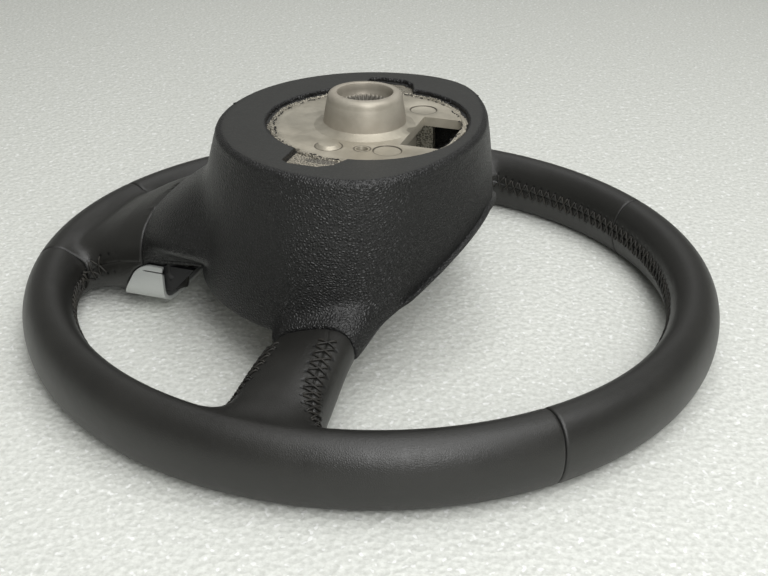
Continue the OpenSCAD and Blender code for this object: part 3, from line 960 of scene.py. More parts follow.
@dataclass(frozen=True)
class GrainedFoam:
    """Black moulded foam with a pebbled leather grain, smoother on the flat back face."""

    colour: tuple = (0.008, 0.0082, 0.008, 1)
    light: tuple = (0.013, 0.0133, 0.013, 1)
    roughness: float = 0.4
    grain_depth: float = 0.00026

    def build(self, effects: Effects) -> Material:
        """Makes the material."""
        r = Recipe("grained_foam")
        mottle = r.mottle(effects, 22.0)
        grain = r.effect(effects.grain, Cells=660.0, Crease=0.4)
        flat = r.attribute("flat")
        deep = r.times(grain.outputs["Height"], r.ramp(flat, 0, 1, 1, 0.12))
        colour = r.blend(r.times(mottle, 0.6), self.colour, self.light)
        # The flat back face is painted lighter: painted sheen for the light it catches facing up.
        colour = r.blend(r.times(flat, 0.7), colour, (0.036, 0.037, 0.033, 1))
        # The grain's creases are painted darker: painted shade between the pebbles.
        creases = r.ramp(grain.outputs["Crease"], 0.0, 0.6, 0.45, 0.0)
        colour = r.blend(creases, colour, (0.006, 0.006, 0.006, 1))
        # The opening's raw inner wall is painted darker: painted shade in the gap down to the plate.
        colour = r.blend(r.attribute("raw"), colour, (0.006, 0.006, 0.0065, 1))
        rough = r.ramp(mottle, 0, 1, self.roughness - 0.04, self.roughness + 0.05)
        rough = r.plus(rough, r.times(flat, 0.06))
        normal = r.bump(r.noise(140, 3), 0.0006, 0.3)
        normal = r.bump(deep, self.grain_depth, 1.0, normal)
        return r.finish(Base_Color=colour, Roughness=rough, Normal=normal, IOR=1.52)


@dataclass(frozen=True)
class CastAlloy:
    """Light alloy straight from the die: dull, warm grey, blotched and slightly rough."""

    ring_marks: tuple = ((32.3, 17.5, 7.1), (-32.3, 17.5, 7.1), (36.0, -12.0, 6.9), (34.0, 5.0, 4.2))
    scar_place: tuple = (57.0, -8.0, 3.2, 9.0)
    dirt_band: tuple = (49.0, 53.0)

    def ring(self, r: Recipe, x: float, y: float, radius: float) -> Socket:
        """Mask of a thin dark ring round a place on the plate, in millimetres."""
        across, up, height = r.split(x, y)
        off = r.math("ABSOLUTE", r.minus(r.times(r.length(across, up), 1 / MM), radius))
        level = r.math("LESS_THAN", r.math("ABSOLUTE", r.minus(height, SIZE.plate_top * MM)), 0.0025)
        return r.times(r.ramp(off, 0.15, 0.5, 1.0, 0.0), level)

    def scar(self, r: Recipe) -> Socket:
        """Mask of the rough oval where the casting was broken off its feeder."""
        x, y, half_w, half_h = self.scar_place
        there = r.node("ShaderNodeMapping", {
            "Vector": r.place(), "Location": (-x / half_w, -y / half_h, -220),
            "Scale": (1 / (half_w * MM), 1 / (half_h * MM), 2000)}).outputs[0]
        far = r.node("ShaderNodeVectorMath", {0: there}, operation="LENGTH").outputs["Value"]
        return r.ramp(r.plus(far, r.times(r.noise(600, 2), 0.5)), 1.1, 1.3, 1.0, 0.0)

    def rim_dirt(self, r: Recipe) -> Socket:
        """Mask of the ragged dark streaks just inside the foam's opening."""
        inner, outer = self.dirt_band
        across, up, _ = r.split()
        far = r.plus(r.times(r.length(across, up), 1 / MM), r.times(r.minus(r.noise(90, 2), 0.5), 4.0))
        return r.times(r.ramp(far, inner, outer), r.ramp(r.noise(1100, 3), 0.47, 0.53))

    def build(self, effects: Effects) -> Material:
        """Makes the material."""
        r = Recipe("cast_alloy")
        mottle = r.mottle(effects, 70.0)
        cloud = r.mottle(effects, 24.0)
        warm = r.mottle(effects, 11.0)
        colour = r.blend(mottle, (0.40, 0.375, 0.31, 1), (0.54, 0.51, 0.43, 1))
        colour = r.blend(r.times(cloud, 0.45), colour, (0.27, 0.245, 0.20, 1))
        colour = r.blend(r.times(warm, 0.25), colour, (0.55, 0.47, 0.34, 1))
        rings = 0.0
        for x, y, radius in self.ring_marks:
            rings = r.math("MAXIMUM", rings, self.ring(r, x, y, radius))
        colour = r.blend(r.times(rings, 0.75), colour, (0.07, 0.062, 0.05, 1))
        scar = self.scar(r)
        grit = r.noise(1500, 3)
        colour = r.blend(r.times(scar, 0.85), colour,
                         r.blend(r.ramp(grit, 0.35, 0.65), (0.05, 0.047, 0.04, 1), (0.36, 0.34, 0.3, 1)))
        colour = r.blend(r.times(self.rim_dirt(r), 0.8), colour, (0.06, 0.055, 0.045, 1))
        rough = r.ramp(mottle, 0, 1, 0.4, 0.58)
        normal = r.bump(r.noise(900, 4, rough=0.6), 0.00008, 0.8, r.bump(r.noise(190, 3), 0.0005, 0.6))
        normal = r.bump(r.times(scar, grit), 0.0006, 1.0, normal)
        normal = r.bump(r.minus(1.0, rings), 0.0003, 0.8, normal)
        return r.finish(Base_Color=colour, Roughness=rough, Metallic=0.55, Normal=normal)


@dataclass(frozen=True)
class TurnedSteel:
    """Machined steel with fine turning marks round the column's axis."""

    axis_y: float = SIZE.column_y

    def build(self, effects: Effects) -> Material:
        """Makes the material."""
        r = Recipe("turned_steel")
        across, up, height = r.split(0.0, self.axis_y)
        radius = r.length(across, up)
        lines = r.node("ShaderNodeCombineXYZ", {"X": radius, "Y": height}).outputs[0]
        marks = r.noise(4200, 2, lines)
        mottle = r.mottle(effects, 120.0)
        colour = r.blend(mottle, (0.50, 0.465, 0.385, 1), (0.62, 0.58, 0.49, 1))
        stain = r.mottle(effects, 34.0)
        colour = r.blend(r.times(stain, 0.35), colour, (0.42, 0.33, 0.26, 1))
        colour = r.blend(r.ramp(radius, 0.0128, 0.0144, 0.9, 0.25), colour, (0.05, 0.047, 0.04, 1))
        rough = r.plus(r.ramp(marks, 0.3, 0.7, 0.4, 0.52), r.times(mottle, 0.06))
        return r.finish(Base_Color=colour, Roughness=rough, Metallic=0.45, Normal=r.bump(marks, 0.00005, 0.9))


@dataclass(frozen=True)
class SilverPaint:
    """Satin silver paint over plastic, with a faint flake."""

    def build(self, effects: Effects) -> Material:
        """Makes the material."""
        r = Recipe("silver_paint")
        flake = r.noise(5200, 1)
        mottle = r.mottle(effects, 60.0)
        colour = r.blend(r.ramp(flake, 0.35, 0.65), (0.5, 0.52, 0.5, 1), (0.58, 0.6, 0.58, 1))
        # The groove is painted near-black: painted shade inside the groove.
        colour = r.blend(r.attribute("groove"), colour, (0.01, 0.01, 0.01, 1))
        rough = r.ramp(mottle, 0, 1, 0.3, 0.36)
        return r.finish(Base_Color=colour, Roughness=rough, Metallic=0.25, Coat_Weight=0.25,
                        Normal=r.bump(flake, 0.00002, 0.5))


@dataclass(frozen=True)
class PlainFinish:
    """Plain moulded, blackened or drawn surface with fine unevenness."""

    name: str
    dark: tuple
    light: tuple
    rough_low: float
    rough_high: float
    metallic: float = 0.0
    depth: float = 0.00006
    scale: float = 1400.0

    def build(self, effects: Effects) -> Material:
        """Makes the material."""
        r = Recipe(self.name)
        mottle = r.mottle(effects, 90.0)
        colour = r.blend(mottle, self.dark, self.light)
        normal = r.bump(r.noise(self.scale, 3), self.depth, 0.6)
        return r.finish(Base_Color=colour, Roughness=r.ramp(mottle, 0, 1, self.rough_low, self.rough_high),
                        Metallic=self.metallic, Normal=normal)


class Finishes:
    """All finishes of the wheel."""

    def __init__(self) -> None:
        """Builds the shared effects and every material."""
        effects = Effects()
        self.leather = Leather().build(effects)
        self.foam = GrainedFoam().build(effects)
        self.alloy = CastAlloy().build(effects)
        self.steel = TurnedSteel().build(effects)
        self.silver = SilverPaint().build(effects)
        plain = {
            "plastic": ("black_plastic", (0.008, 0.008, 0.009, 1), (0.013, 0.013, 0.014, 1), 0.4, 0.5),
            "screw": ("black_steel", (0.03, 0.03, 0.032, 1), (0.06, 0.06, 0.062, 1), 0.35, 0.5, 0.8),
            "wire": ("spring_wire", (0.32, 0.33, 0.34, 1), (0.45, 0.46, 0.47, 1), 0.25, 0.35, 1.0),
            "flash": ("foam_skin", (0.006, 0.006, 0.006, 1), (0.018, 0.018, 0.017, 1), 0.5, 0.75, 0.0, 0.0004,
                      1100.0),
            "thread": ("waxed_thread", (0.007, 0.0066, 0.0056, 1), (0.03, 0.027, 0.021, 1), 0.55, 0.7, 0.0,
                       0.0002, 2400.0),
        }
        for name, values in plain.items():
            setattr(self, name, PlainFinish(*values).build(effects))


# ---------------------------------------------------------------- leather


@dataclass
class LeatherCover:
    """The four leather panels, cut from one drawn surface and turned in at the seams."""

    surface: LeatherSurface
    cell: float = 1.15
    turn_in: float = 1.1
    loops: tuple = (0.16, 0.4, 0.7, 1.1, 1.7, 2.5)

    def blank(self, name: str, cell: float, inset: float) -> Obj:
        """Rim and spokes as one closed skin.

        Args:
            name: the mesh's name.
            cell: size of its quads.
            inset: how far it lies inside the leather's outer surface.

        Returns:
            The mesh.
        """
        s = self.surface.size
        Bench.clear()
        bpy.ops.mesh.primitive_torus_add(major_radius=s.rim_r * MM, minor_radius=s.grip_w / 2 * MM,
                                         major_segments=240, minor_segments=32, location=(0, 0, s.rim_z * MM))
        rim = Bench.fresh(name)
        points = Bench.points(rim)
        points[:, 2] = s.rim_z + (points[:, 2] - s.rim_z) * s.grip_h / s.grip_w
        Bench.move(rim, points)
        shapes = [rim]
        for middle, size in (((s.rim_r - 40, s.side_y, 26), (78, 36, 26)),
                             ((-(s.rim_r - 40), s.side_y, 26), (78, 36, 26)),
                             ((0, -(s.rim_r - 32), 24), (80, 64, 36))):
            Bench.clear()
            bpy.ops.mesh.primitive_cube_add(size=1, location=Vector(middle) * MM, scale=Vector(size) * MM)
            shapes.append(Bench.fresh("spoke_blank"))
        body = Bench.join(shapes, name)
        body.data.remesh_voxel_size = cell * MM
        body.data.remesh_voxel_adaptivity = 0
        bpy.ops.object.voxel_remesh()
        points = self.surface.onto(Bench.points(body), inset, 10)
        edges = np.empty(len(body.data.edges) * 2, np.int32)
        body.data.edges.foreach_get("vertices", edges)
        a, b = edges.reshape(-1, 2).T
        count = np.bincount(np.concatenate([a, b]), minlength=len(points))[:, None]
        for _ in range(6):
            total = np.stack([np.bincount(a, points[b, k], len(points))
                              + np.bincount(b, points[a, k], len(points)) for k in range(3)], axis=1)
            points = self.surface.onto(mix(points, total / np.maximum(count, 1), 0.6), inset, 2)
        Bench.move(body, self.surface.onto(points, inset, 3))
        return body

    def groove(self, body: Obj, paths: Sequence[LacePath]) -> None:
        """Presses the joint lines under the lacing into the skin and puckers it between the crosses.

        Args:
            body: the whole drawn surface.
            paths: the laced joints.
        """
        for path in paths:
            across, _, _ = path.beside(Bench.points(body))
            Bench.slice(body, across, (-1.5, -0.7, -0.25, 0, 0.25, 0.7, 1.5), near=7)
        points = Bench.points(body)
        direction, _ = self.surface.normal(points)
        sink = np.zeros(len(points))
        lace = np.full(len(points), 30.0)
        crosses = np.zeros(len(points))
        for path in paths:
            across, count, laced = path.beside(points)
            found = np.abs(across) < 9
            line = 0.5 * np.exp(-(across / 0.38) ** 2) + 0.15 * np.exp(-(across / 1.5) ** 2)
            pucker = 0.1 * np.cos(2 * np.pi * count) * np.exp(-((np.abs(across) - 4.9) / 1.1) ** 2)
            bulge = -0.18 * np.exp(-((np.abs(across) - 2.9) / 1.5) ** 2)
            sink = np.where(found, line * np.where(laced, 1, 0.6) + np.where(laced, pucker + bulge, 0), sink)
            lace = np.where(found & laced, across, lace)
            crosses = np.where(found & laced, count, crosses)
        Bench.move(body, points - direction * sink[:, None])
        Bench.mark(body, "lace", lace)
        Bench.mark(body, "crosses", crosses)
        Bench.mark(body, "line", np.clip(sink, 0, 1))

    def panel(self, body: Obj, name: str, fields: Sequence[Callable[[Array], Array]],
              spares: Sequence[float]) -> Obj:
        """One panel with its edges turned in.

        Args:
            body: the whole drawn surface.
            name: the panel's name.
            fields: distances past each of its edges.
            spares: how far each edge stays back.

        Returns:
            The panel, with a wall as thick as the leather.
        """
        s = self.surface.size
        piece = Bench.twin(body, name)
        for field, spare in zip(fields, spares):
            values = self.surface.over_skin(field, Bench.points(piece)) + spare
            Bench.slice(piece, values, [-depth for depth in self.loops], drop=0.0)
        points = Bench.points(piece)
        direction, _ = self.surface.normal(points)
        sink = np.zeros(len(points))
        for field, spare in zip(fields, spares):
            inside = np.maximum(0, -self.surface.over_skin(field, points) - spare)
            curl = np.clip(1 - inside / 1.9, 0, 1)
            sink = np.maximum(sink, self.turn_in * (1 - np.sqrt(np.maximum(0, 1 - curl ** 2.2))))
        Bench.move(piece, points - direction * sink[:, None])
        Bench.mark(piece, "seam", np.clip(sink / self.turn_in * 1.2 - 0.1, 0, 1) ** 1.5)
        Bench.apply(piece, "SOLIDIFY", thickness=s.skin_t * MM * 0.9, offset=-1.0)
        Bench.smooth(piece, 70)
        return piece

    def build(self, finishes: Finishes) -> Obj:
        """Makes the four panels.

        Returns:
            The foam's covered core, which lies under them.
        """
        f = self.surface
        s = f.size
        body = self.blank("leather_body", self.cell, 0.0)
        paths = lace_paths(f)
        self.groove(body, paths)
        near, far = s.side_seams
        edges = {
            "top": ([lambda p: -f.seam(p, near), lambda p: f.seam(p, far)], (0.12, 0.12)),
            "left": ([lambda p: f.seam(p, near), lambda p: -f.low_seam(p, 1), lambda p: f.side_end(p, 1)],
                     (0.12, 0.12, 0)),
            "right": ([lambda p: -f.seam(p, far), lambda p: -f.low_seam(p, -1), lambda p: f.side_end(p, -1)],
                      (0.12, 0.12, 0)),
            "bottom": ([lambda p: f.low_seam(p, 1), lambda p: f.low_seam(p, -1), f.low_end, f.recess],
                       (0.12, 0.12, 0, 0)),
        }
        for side, (fields, spares) in edges.items():
            piece = self.panel(body, "leather_panel_" + side, fields, spares)
            Bench.deliver(piece, finishes.leather, "smooth_leather", "leather_" + side)
        bpy.data.objects.remove(body)
        Lacing(paths).build(finishes)
        core = self.blank("covered_core", 2.6, s.skin_t + 0.1)
        for _ in range(2):
            values = f.recess(Bench.points(core), s.skin_t)
            Bench.slice(core, values, (-1.2, 0.0, 1.2))
        self.press(core)
        return core

    def press(self, core: Obj) -> None:
        """Presses the covered core back out of the trim's recess."""
        f = self.surface
        s = f.size
        points = Bench.points(core)
        roof = s.trim_top + s.trim_gap + s.skin_t
        inside = f.recess(points, s.skin_t) > 0.01
        low = inside & (points[:, 1] > -s.low_tuck - 40) & (np.abs(points[:, 0]) < 60)
        edge = s.trim_outer(np.clip(points[:, 2], 0, s.trim_top)) - s.trim_gap - s.skin_t
        to_side = points[:, 1] - edge
        to_roof = roof - points[:, 2]
        up = low & (to_roof <= to_side)
        back = low & ~up
        points[up, 2] = roof
        points[back, 1] = edge[back]
        Bench.move(core, points)


@dataclass
class Lacing:
    """Waxed thread that draws the leather's edges together in crosses."""

    paths: Sequence[LacePath]
    reach: float = LACE_REACH
    uneven_reach: float = 0.16
    uneven_place: float = 0.035
    uneven_height: float = 0.05
    crossing_rise: float = 0.42
    dive_deep: float = 1.5
    thick: float = 0.56

    def thread(self) -> Obj:
        """One short thread along X, from 0 to 1 metre, round and open to be bent.

        Returns:
            The thread, which every other one is a copy of.
        """
        Bench.clear()
        bpy.ops.mesh.primitive_cylinder_add(vertices=6, radius=1, depth=1, end_fill_type="NGON",
                                            location=(0.5, 0, 0), rotation=(0, math.pi / 2, 0))
        thread = Bench.fresh("lacing_thread")
        for share in (0.1, 0.24, 0.42, 0.58, 0.76, 0.9):
            Bench.edit(thread)
            bpy.ops.mesh.bisect(plane_co=(share, 0, 0), plane_no=(1, 0, 0), threshold=1e-7)
            Bench.done()
        return thread

    def build(self, finishes: Finishes) -> None:
        """Copies the thread along every joint and bends it over the leather."""
        rng = np.random.default_rng(SEED)
        for name, path in zip(("over", "left", "right"), self.paths):
            piece = self.thread()
            piece.name = piece.data.name = "lacing_" + name
            single = len(piece.data.vertices)
            count = path.count - 1
            Bench.apply(piece, "ARRAY", count=2 * count, use_relative_offset=False, use_constant_offset=True,
                        constant_offset_displace=(2.0, 0, 0))
            local = Bench.points(piece) * MM
            number = np.repeat(np.arange(2 * count), single)
            along = np.clip(local[:, 0] - 2.0 * number, 0, 1)
            cross, side = number // 2, np.where(number % 2, 1.0, -1.0)
            knots = self.reach + rng.normal(0, self.uneven_reach, (2, path.count + 2))
            slips = rng.normal(0, self.uneven_place, (2, path.count + 2))
            lift = rng.normal(0, self.uneven_height, 2 * count)[number]
            first, last = (number % 2), 1 - (number % 2)
            begin, stop = side * -knots[first, cross], side * knots[last, cross + 1]
            from_cross = cross + slips[first, cross]
            to_cross = cross + 1.0 + slips[last, cross + 1]
            across = mix(begin, stop, along)
            places = mix(from_cross, to_cross, ease(along * 0.7 + 0.15))
            over = np.where(side > 0, self.crossing_rise, 0.0) * np.exp(-((along - 0.5) / 0.13) ** 2)
            dive = self.dive_deep * np.maximum(0, np.abs(along - 0.5) * 2 - 0.8) / 0.2
            arch = 0.25 * np.exp(-((np.abs(along - 0.5) - 0.28) / 0.12) ** 2)
            height = self.thick * 0.75 + arch + over - dive + lift
            base, ahead, sideways, out = path.at(places, across, height)
            run = ahead * (LACE_PITCH * (to_cross - from_cross))[:, None] + sideways * (stop - begin)[:, None]
            run /= np.linalg.norm(run, axis=1, keepdims=True)
            beside = np.cross(out, run)
            swell = self.thick * (1 + 0.12 * np.sin(along * 9 + cross))
            points = base + beside * (local[:, 1] * swell)[:, None] + out * (local[:, 2] * swell)[:, None]
            Bench.move(piece, points)
            Bench.outward(piece, 0.0)
            Bench.smooth(piece, 180)
            Bench.deliver(piece, finishes.thread, "black_plastic")


# ---------------------------------------------------------------- foam shroud


@dataclass
class HubShroud:
    """The moulded foam: hub shroud with three shoulders, an opening in its back and a ledge in front."""

    surface: FoamSurface
    coarse: float = 0.9
    fine: float = 0.4

    def directions(self) -> Array:
        """Directions of the section rings, closer together at the spokes and at the opening's corners."""
        spans = [(-33, 33, self.fine), (33, 147, self.coarse), (147, 213, self.fine), (213, 234, self.coarse),
                 (234, 306, self.fine), (306, 327, self.coarse)]
        return np.concatenate([np.linspace(a, b, round((b - a) / step), endpoint=False)
                               for a, b, step in spans])

    def section(self, t: Array) -> tuple[Array, Array, Array]:
        """The shroud's section at every direction, as a closed loop.

        Args:
            t: directions in degrees.

        Returns:
            Radii and heights, one column a point of the loop, and the kind of each column:
            0 outside, 1 flat back, 2 raw edge, 3 inside.
        """
        f = self.surface
        s = f.size
        q = fold(t)
        front = f.front_edge(q)
        rows: list[tuple[Array, Array, int]] = []
        level = lambda z: np.full_like(q, z)
        well = lambda z: f.hub_wall(q, z) - s.wall_t
        for u in np.linspace(0, 1, 12):
            z = mix(front + 0.6, s.plate_top, u)
            rows.append((well(z), z, 3))
        opening = f.opening(q, t)
        rng = np.random.default_rng(SEED)
        rough = smoothed(rng.normal(0, 1, len(t) + 8), 5, 4) * 0.45
        rough += np.where(rng.random(len(t)) > 0.9, rng.random(len(t)) * -0.9, 0)
        for u in (0.4, 0.8):
            rows.append((mix(well(s.plate_top), opening, u), level(s.plate_top + 0.03), 3))
        for u, out in ((0, 0.0), (0.35, 0.5), (0.7, 0.6), (1, 0.35)):
            z = mix(s.plate_top + 0.05, s.hub_top - 0.45, u)
            rows.append((opening - out + rough * (1 - 0.5 * u), level(z), 2))
        edge = f.hub_wall(q, s.hub_top) - s.edge_r
        shoulder = f.wall(q, s.hub_top - s.edge_r)
        rows.append((opening + 0.15, level(s.hub_top - 0.1), 2))
        for u in (0.02, 0.05, 0.1, 0.2, 0.35, 0.5, 0.65, 0.8, 0.92, 1):
            rows.append((mix(opening + 0.5, edge, u), level(s.hub_top), 1))
        for turn in (15, 30, 45, 60, 75, 90):
            w = math.radians(turn)
            height = s.hub_top - s.edge_r * (1 - math.cos(w))
            rows.append((edge + (shoulder - edge) * math.sin(w), level(height), 0))
        base = front + np.where(f.lip(q) > 0.01, s.lip_h + 0.5, 1.6)
        for u in np.linspace(0, 1, 62)[1:] ** 0.85:
            z = mix(s.hub_top - s.edge_r, base, u)
            rows.append((f.wall(q, z), z, 0))
        lip = f.lip(q)
        low = f.wall(q, front + 2)
        for z, out, shrink in ((s.lip_h, 0.0, 0.0), (s.lip_h - 0.1, 0.6, 0.0), (s.lip_h - 0.5, 1.0, 0.0),
                               (0.6, 1.0, 0.0), (0.15, 0.9, 0.5), (0.0, 0.5, 1.6)):
            height = np.where(lip > 0.01, z, z / s.lip_h * 1.6)
            rows.append((low + lip * out - shrink * 0.5, front + height, 0))
        inner = well(front)
        rows.append((mix(low, inner, 0.5), front, 0))
        rows.append((inner + 0.6, front, 0))
        radii, heights, kinds = zip(*rows)
        return np.stack(radii, axis=1), np.stack(heights, axis=1), np.array(kinds)

    def build(self, core: Obj, finishes: Finishes) -> None:
        """Wraps a grid of the right count into the shroud and joins the covered core to it."""
        t = self.directions()
        radii, heights, kinds = self.section(t)
        kind = np.tile(np.append(kinds, kinds[0]), len(t) + 1)
        shroud = Bench.wrap("foam_shroud", turned(radii, t, heights),
                            marks={"flat": kind == 1, "raw": kind == 2})
        piece = Bench.join([shroud, core], "foam_moulding")
        Bench.smooth(piece, 42)
        Bench.deliver(piece, finishes.foam, "grained_foam", "foam_body")


# ---------------------------------------------------------------- metal and trim


@dataclass
class SteelBush:
    """Turned bush with a tapered outside, a rounded shoulder, a smooth recess and splines."""

    size: WheelSize
    wall: tuple = (
        (21.75, 110.3), (21.6, 112), (21.2, 115), (20.8, 118), (20.35, 120.5), (20.05, 122.3), (19.85, 123),
        (19.7, 123.6), (19.55, 124.6), (19.4, 125.6), (19.1, 126.4), (18.6, 127.1), (17.9, 127.6),
        (17.2, 127.85), (16.2, 127.95), (15.2, 128), (14.75, 127.95), (14.5, 127.7), (14.35, 127.2),
        (14.25, 126), (14.15, 124.5), (14.1, 122.6), (13.7, 121.8))
    phases: tuple = (0.02, 0.25, 0.48, 0.62, 0.68, 0.75, 0.82, 0.88)

    def build(self, finishes: Finishes) -> None:
        """Wraps the turned section round the column's axis."""
        s = self.size
        share = np.tile(self.phases, s.spline_count)
        turn = 360 * (np.repeat(np.arange(s.spline_count), len(self.phases)) + share) / s.spline_count
        deep = np.interp(share, [0, 0.5, 0.65, 0.85, 1], [0, 0, s.spline_h, s.spline_h, 0])
        inner = s.spline_d / 2
        rows = [(np.full_like(turn, s.bush_d / 2 - 0.1), z) for z in (s.bush_low + 0.8, s.plate_top - 0.1)]
        rows += [(np.full_like(turn, r), z) for r, z in self.wall]
        rows += [(mix(13.2, inner, u) + deep * mix(0.5, 1, u), mix(121.5, 118.0, u)) for u in (0, 0.4, 1)]
        rows += [(inner + deep, z) for z in (116, 110, 102, 94, s.bush_low + 0.7)]
        rows += [(np.full_like(turn, r), s.bush_low) for r in (inner + 1.6, s.bush_d / 2 - 0.9)]
        radii = np.stack([r for r, _ in rows], axis=1)
        heights = np.broadcast_to([z for _, z in rows], radii.shape)
        bush = Bench.wrap("turned_bush", turned(radii, turn, heights, s.column_y))
        Bench.smooth(bush, 28)
        Bench.deliver(bush, finishes.steel, "turned_steel", "splined_bush")


@dataclass
class Casting:
    """The armature as cast, with its edges rounded, and the ridge along the foam's opening."""

    foam: FoamSurface
    edge: float = 0.55

    def ridge(self) -> Obj:
        """Ragged ridge of the casting just inside the opening.

        Returns:
            The ridge's mesh.
        """
        t = np.arange(0, 360, 0.6)
        q = fold(t)
        rng = np.random.default_rng(SEED + 1)
        wander = smoothed(rng.normal(0, 1, len(t) + 12), 9, 6) * 0.5
        grit = rng.normal(0, 0.22, (len(t), 6))
        turns = np.radians(t)[:, None]
        base = np.minimum(self.foam.opening(q, t), self.foam.size.open_r + 1.5) - 3.2 + wander
        radii = np.stack([base + d for d in (1.1, 0.7, 0.15, -0.35, -0.85, -1.1)], axis=1) + grit * 0.9
        waves = 0.55 + 0.45 * np.sin(turns * 7 + 1) * np.sin(turns * 3)
        lift = np.array([-0.2, 0.75, 1.3, 1.1, 0.4, -0.2]) * waves
        heights = self.foam.size.plate_top + lift + grit * (lift > 0)
        return Bench.wrap("casting_ridge", turned(radii, t, heights))

    def shrink_collar(self, piece: Obj) -> None:
        """Draws the casting's collar closer round the steel bush.

        Args:
            piece: the rounded copy of the casting.
        """
        size = self.foam.size
        points = Bench.points(piece)
        middle = np.array([0.0, size.column_y])
        off = points[:, :2] - middle
        far = np.hypot(off[:, 0], off[:, 1])
        inner, outer = size.bush_d / 2, size.bush_d / 2 + 6.5
        here = (far > inner) & (far < outer) & (points[:, 2] > size.plate_top + 0.1)
        closer = inner + (far - inner) * 0.5
        points[here, :2] = middle + off[here] * (closer / far)[here, None]
        points[here, 2] = size.plate_top + (points[here, 2] - size.plate_top) * 0.5
        Bench.move(piece, points)

    def build(self, finishes: Finishes) -> None:
        """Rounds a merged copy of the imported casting's mesh."""
        piece = Bench.twin(frame["nodes"]["armature"], "alloy_casting")
        Bench.outward(piece, 0.004)
        Bench.edit(piece)
        bpy.ops.mesh.dissolve_limited(angle_limit=math.radians(0.6))
        Bench.done()
        Bench.apply(piece, "BEVEL", width=self.edge * MM, segments=2, limit_method="ANGLE",
                    angle_limit=math.radians(38), use_clamp_overlap=True, harden_normals=False)
        self.shrink_collar(piece)
        piece = Bench.join([piece, self.ridge()], "alloy_casting")
        Bench.smooth(piece, 35)
        Bench.deliver(piece, finishes.alloy, "cast_alloy", "armature")


@dataclass
class SpokeTrim:
    """Silver cover round the front of the bottom spoke, with a fine groove along its sides."""

    size: WheelSize
    side_levels: tuple = (31, 30.7, 29.6, 28.45, 28.25, 28.1, 27.5, 27.35, 27.15, 26.2, 25, 23.5, 21.5, 19,
                          16.5, 14.5)
    front_places: tuple = (44.6, 43.6, 42.3, 40.5, 38, 34, 29, 23, 16, 8, 0)
    groove: tuple = (27.4, 28.2)
    groove_deep: float = 0.75

    def section(self) -> Array:
        """Points of the cover's section from one side's edge to the other's.

        Returns:
            Rows of X and Z in millimetres.
        """
        s = self.size
        half_w, middle = s.low_w / 2 - 0.3, (s.low_top + s.low_bottom) / 2
        half_h = middle - s.trim_z
        side = [(half_w * (1 - ((middle - z) / half_h) ** 6) ** (1 / 6), z) for z in self.side_levels]
        front = [(x, middle - half_h * (1 - (x / half_w) ** 6) ** (1 / 6)) for x in self.front_places]
        half = np.array(side + front)
        return np.concatenate([half, (half * (-1, 1))[-2::-1]])

    def build(self, finishes: Finishes) -> None:
        """Wraps the section along the spoke, gives it a wall and rounds its edges."""
        s = self.size
        section = self.section()
        places = np.concatenate([np.linspace(0, 0.75, 14), np.linspace(0.8, 1, 7)])
        outer = s.trim_outer(section[:, 1])
        y = mix(s.trim_inner, outer[None, :], places[:, None])
        x = np.broadcast_to(section[:, 0], y.shape)
        z = np.broadcast_to(section[:, 1], y.shape)
        low, high = self.groove
        in_groove = (z > low) & (z < high)
        x = x - np.sign(x) * np.where(in_groove, self.groove_deep * ease((y + 117.2) / 1.2), 0)
        cover = Bench.wrap("spoke_cover", np.stack([x, y, z], axis=2), False,
                           {"groove": (in_groove & (y > -116.6)).ravel()})
        front = min(cover.data.polygons, key=lambda face: face.center.z)
        if front.normal.z > 0:
            Bench.edit(cover)
            bpy.ops.mesh.flip_normals()
            Bench.done()
        Bench.apply(cover, "SOLIDIFY", thickness=s.trim_t * MM, offset=-1.0)
        Bench.apply(cover, "BEVEL", width=0.4 * MM, segments=3, limit_method="ANGLE",
                    angle_limit=math.radians(50))
        Bench.smooth(cover, 45)
        Bench.deliver(cover, finishes.silver, "silver_paint", "spoke_trim")


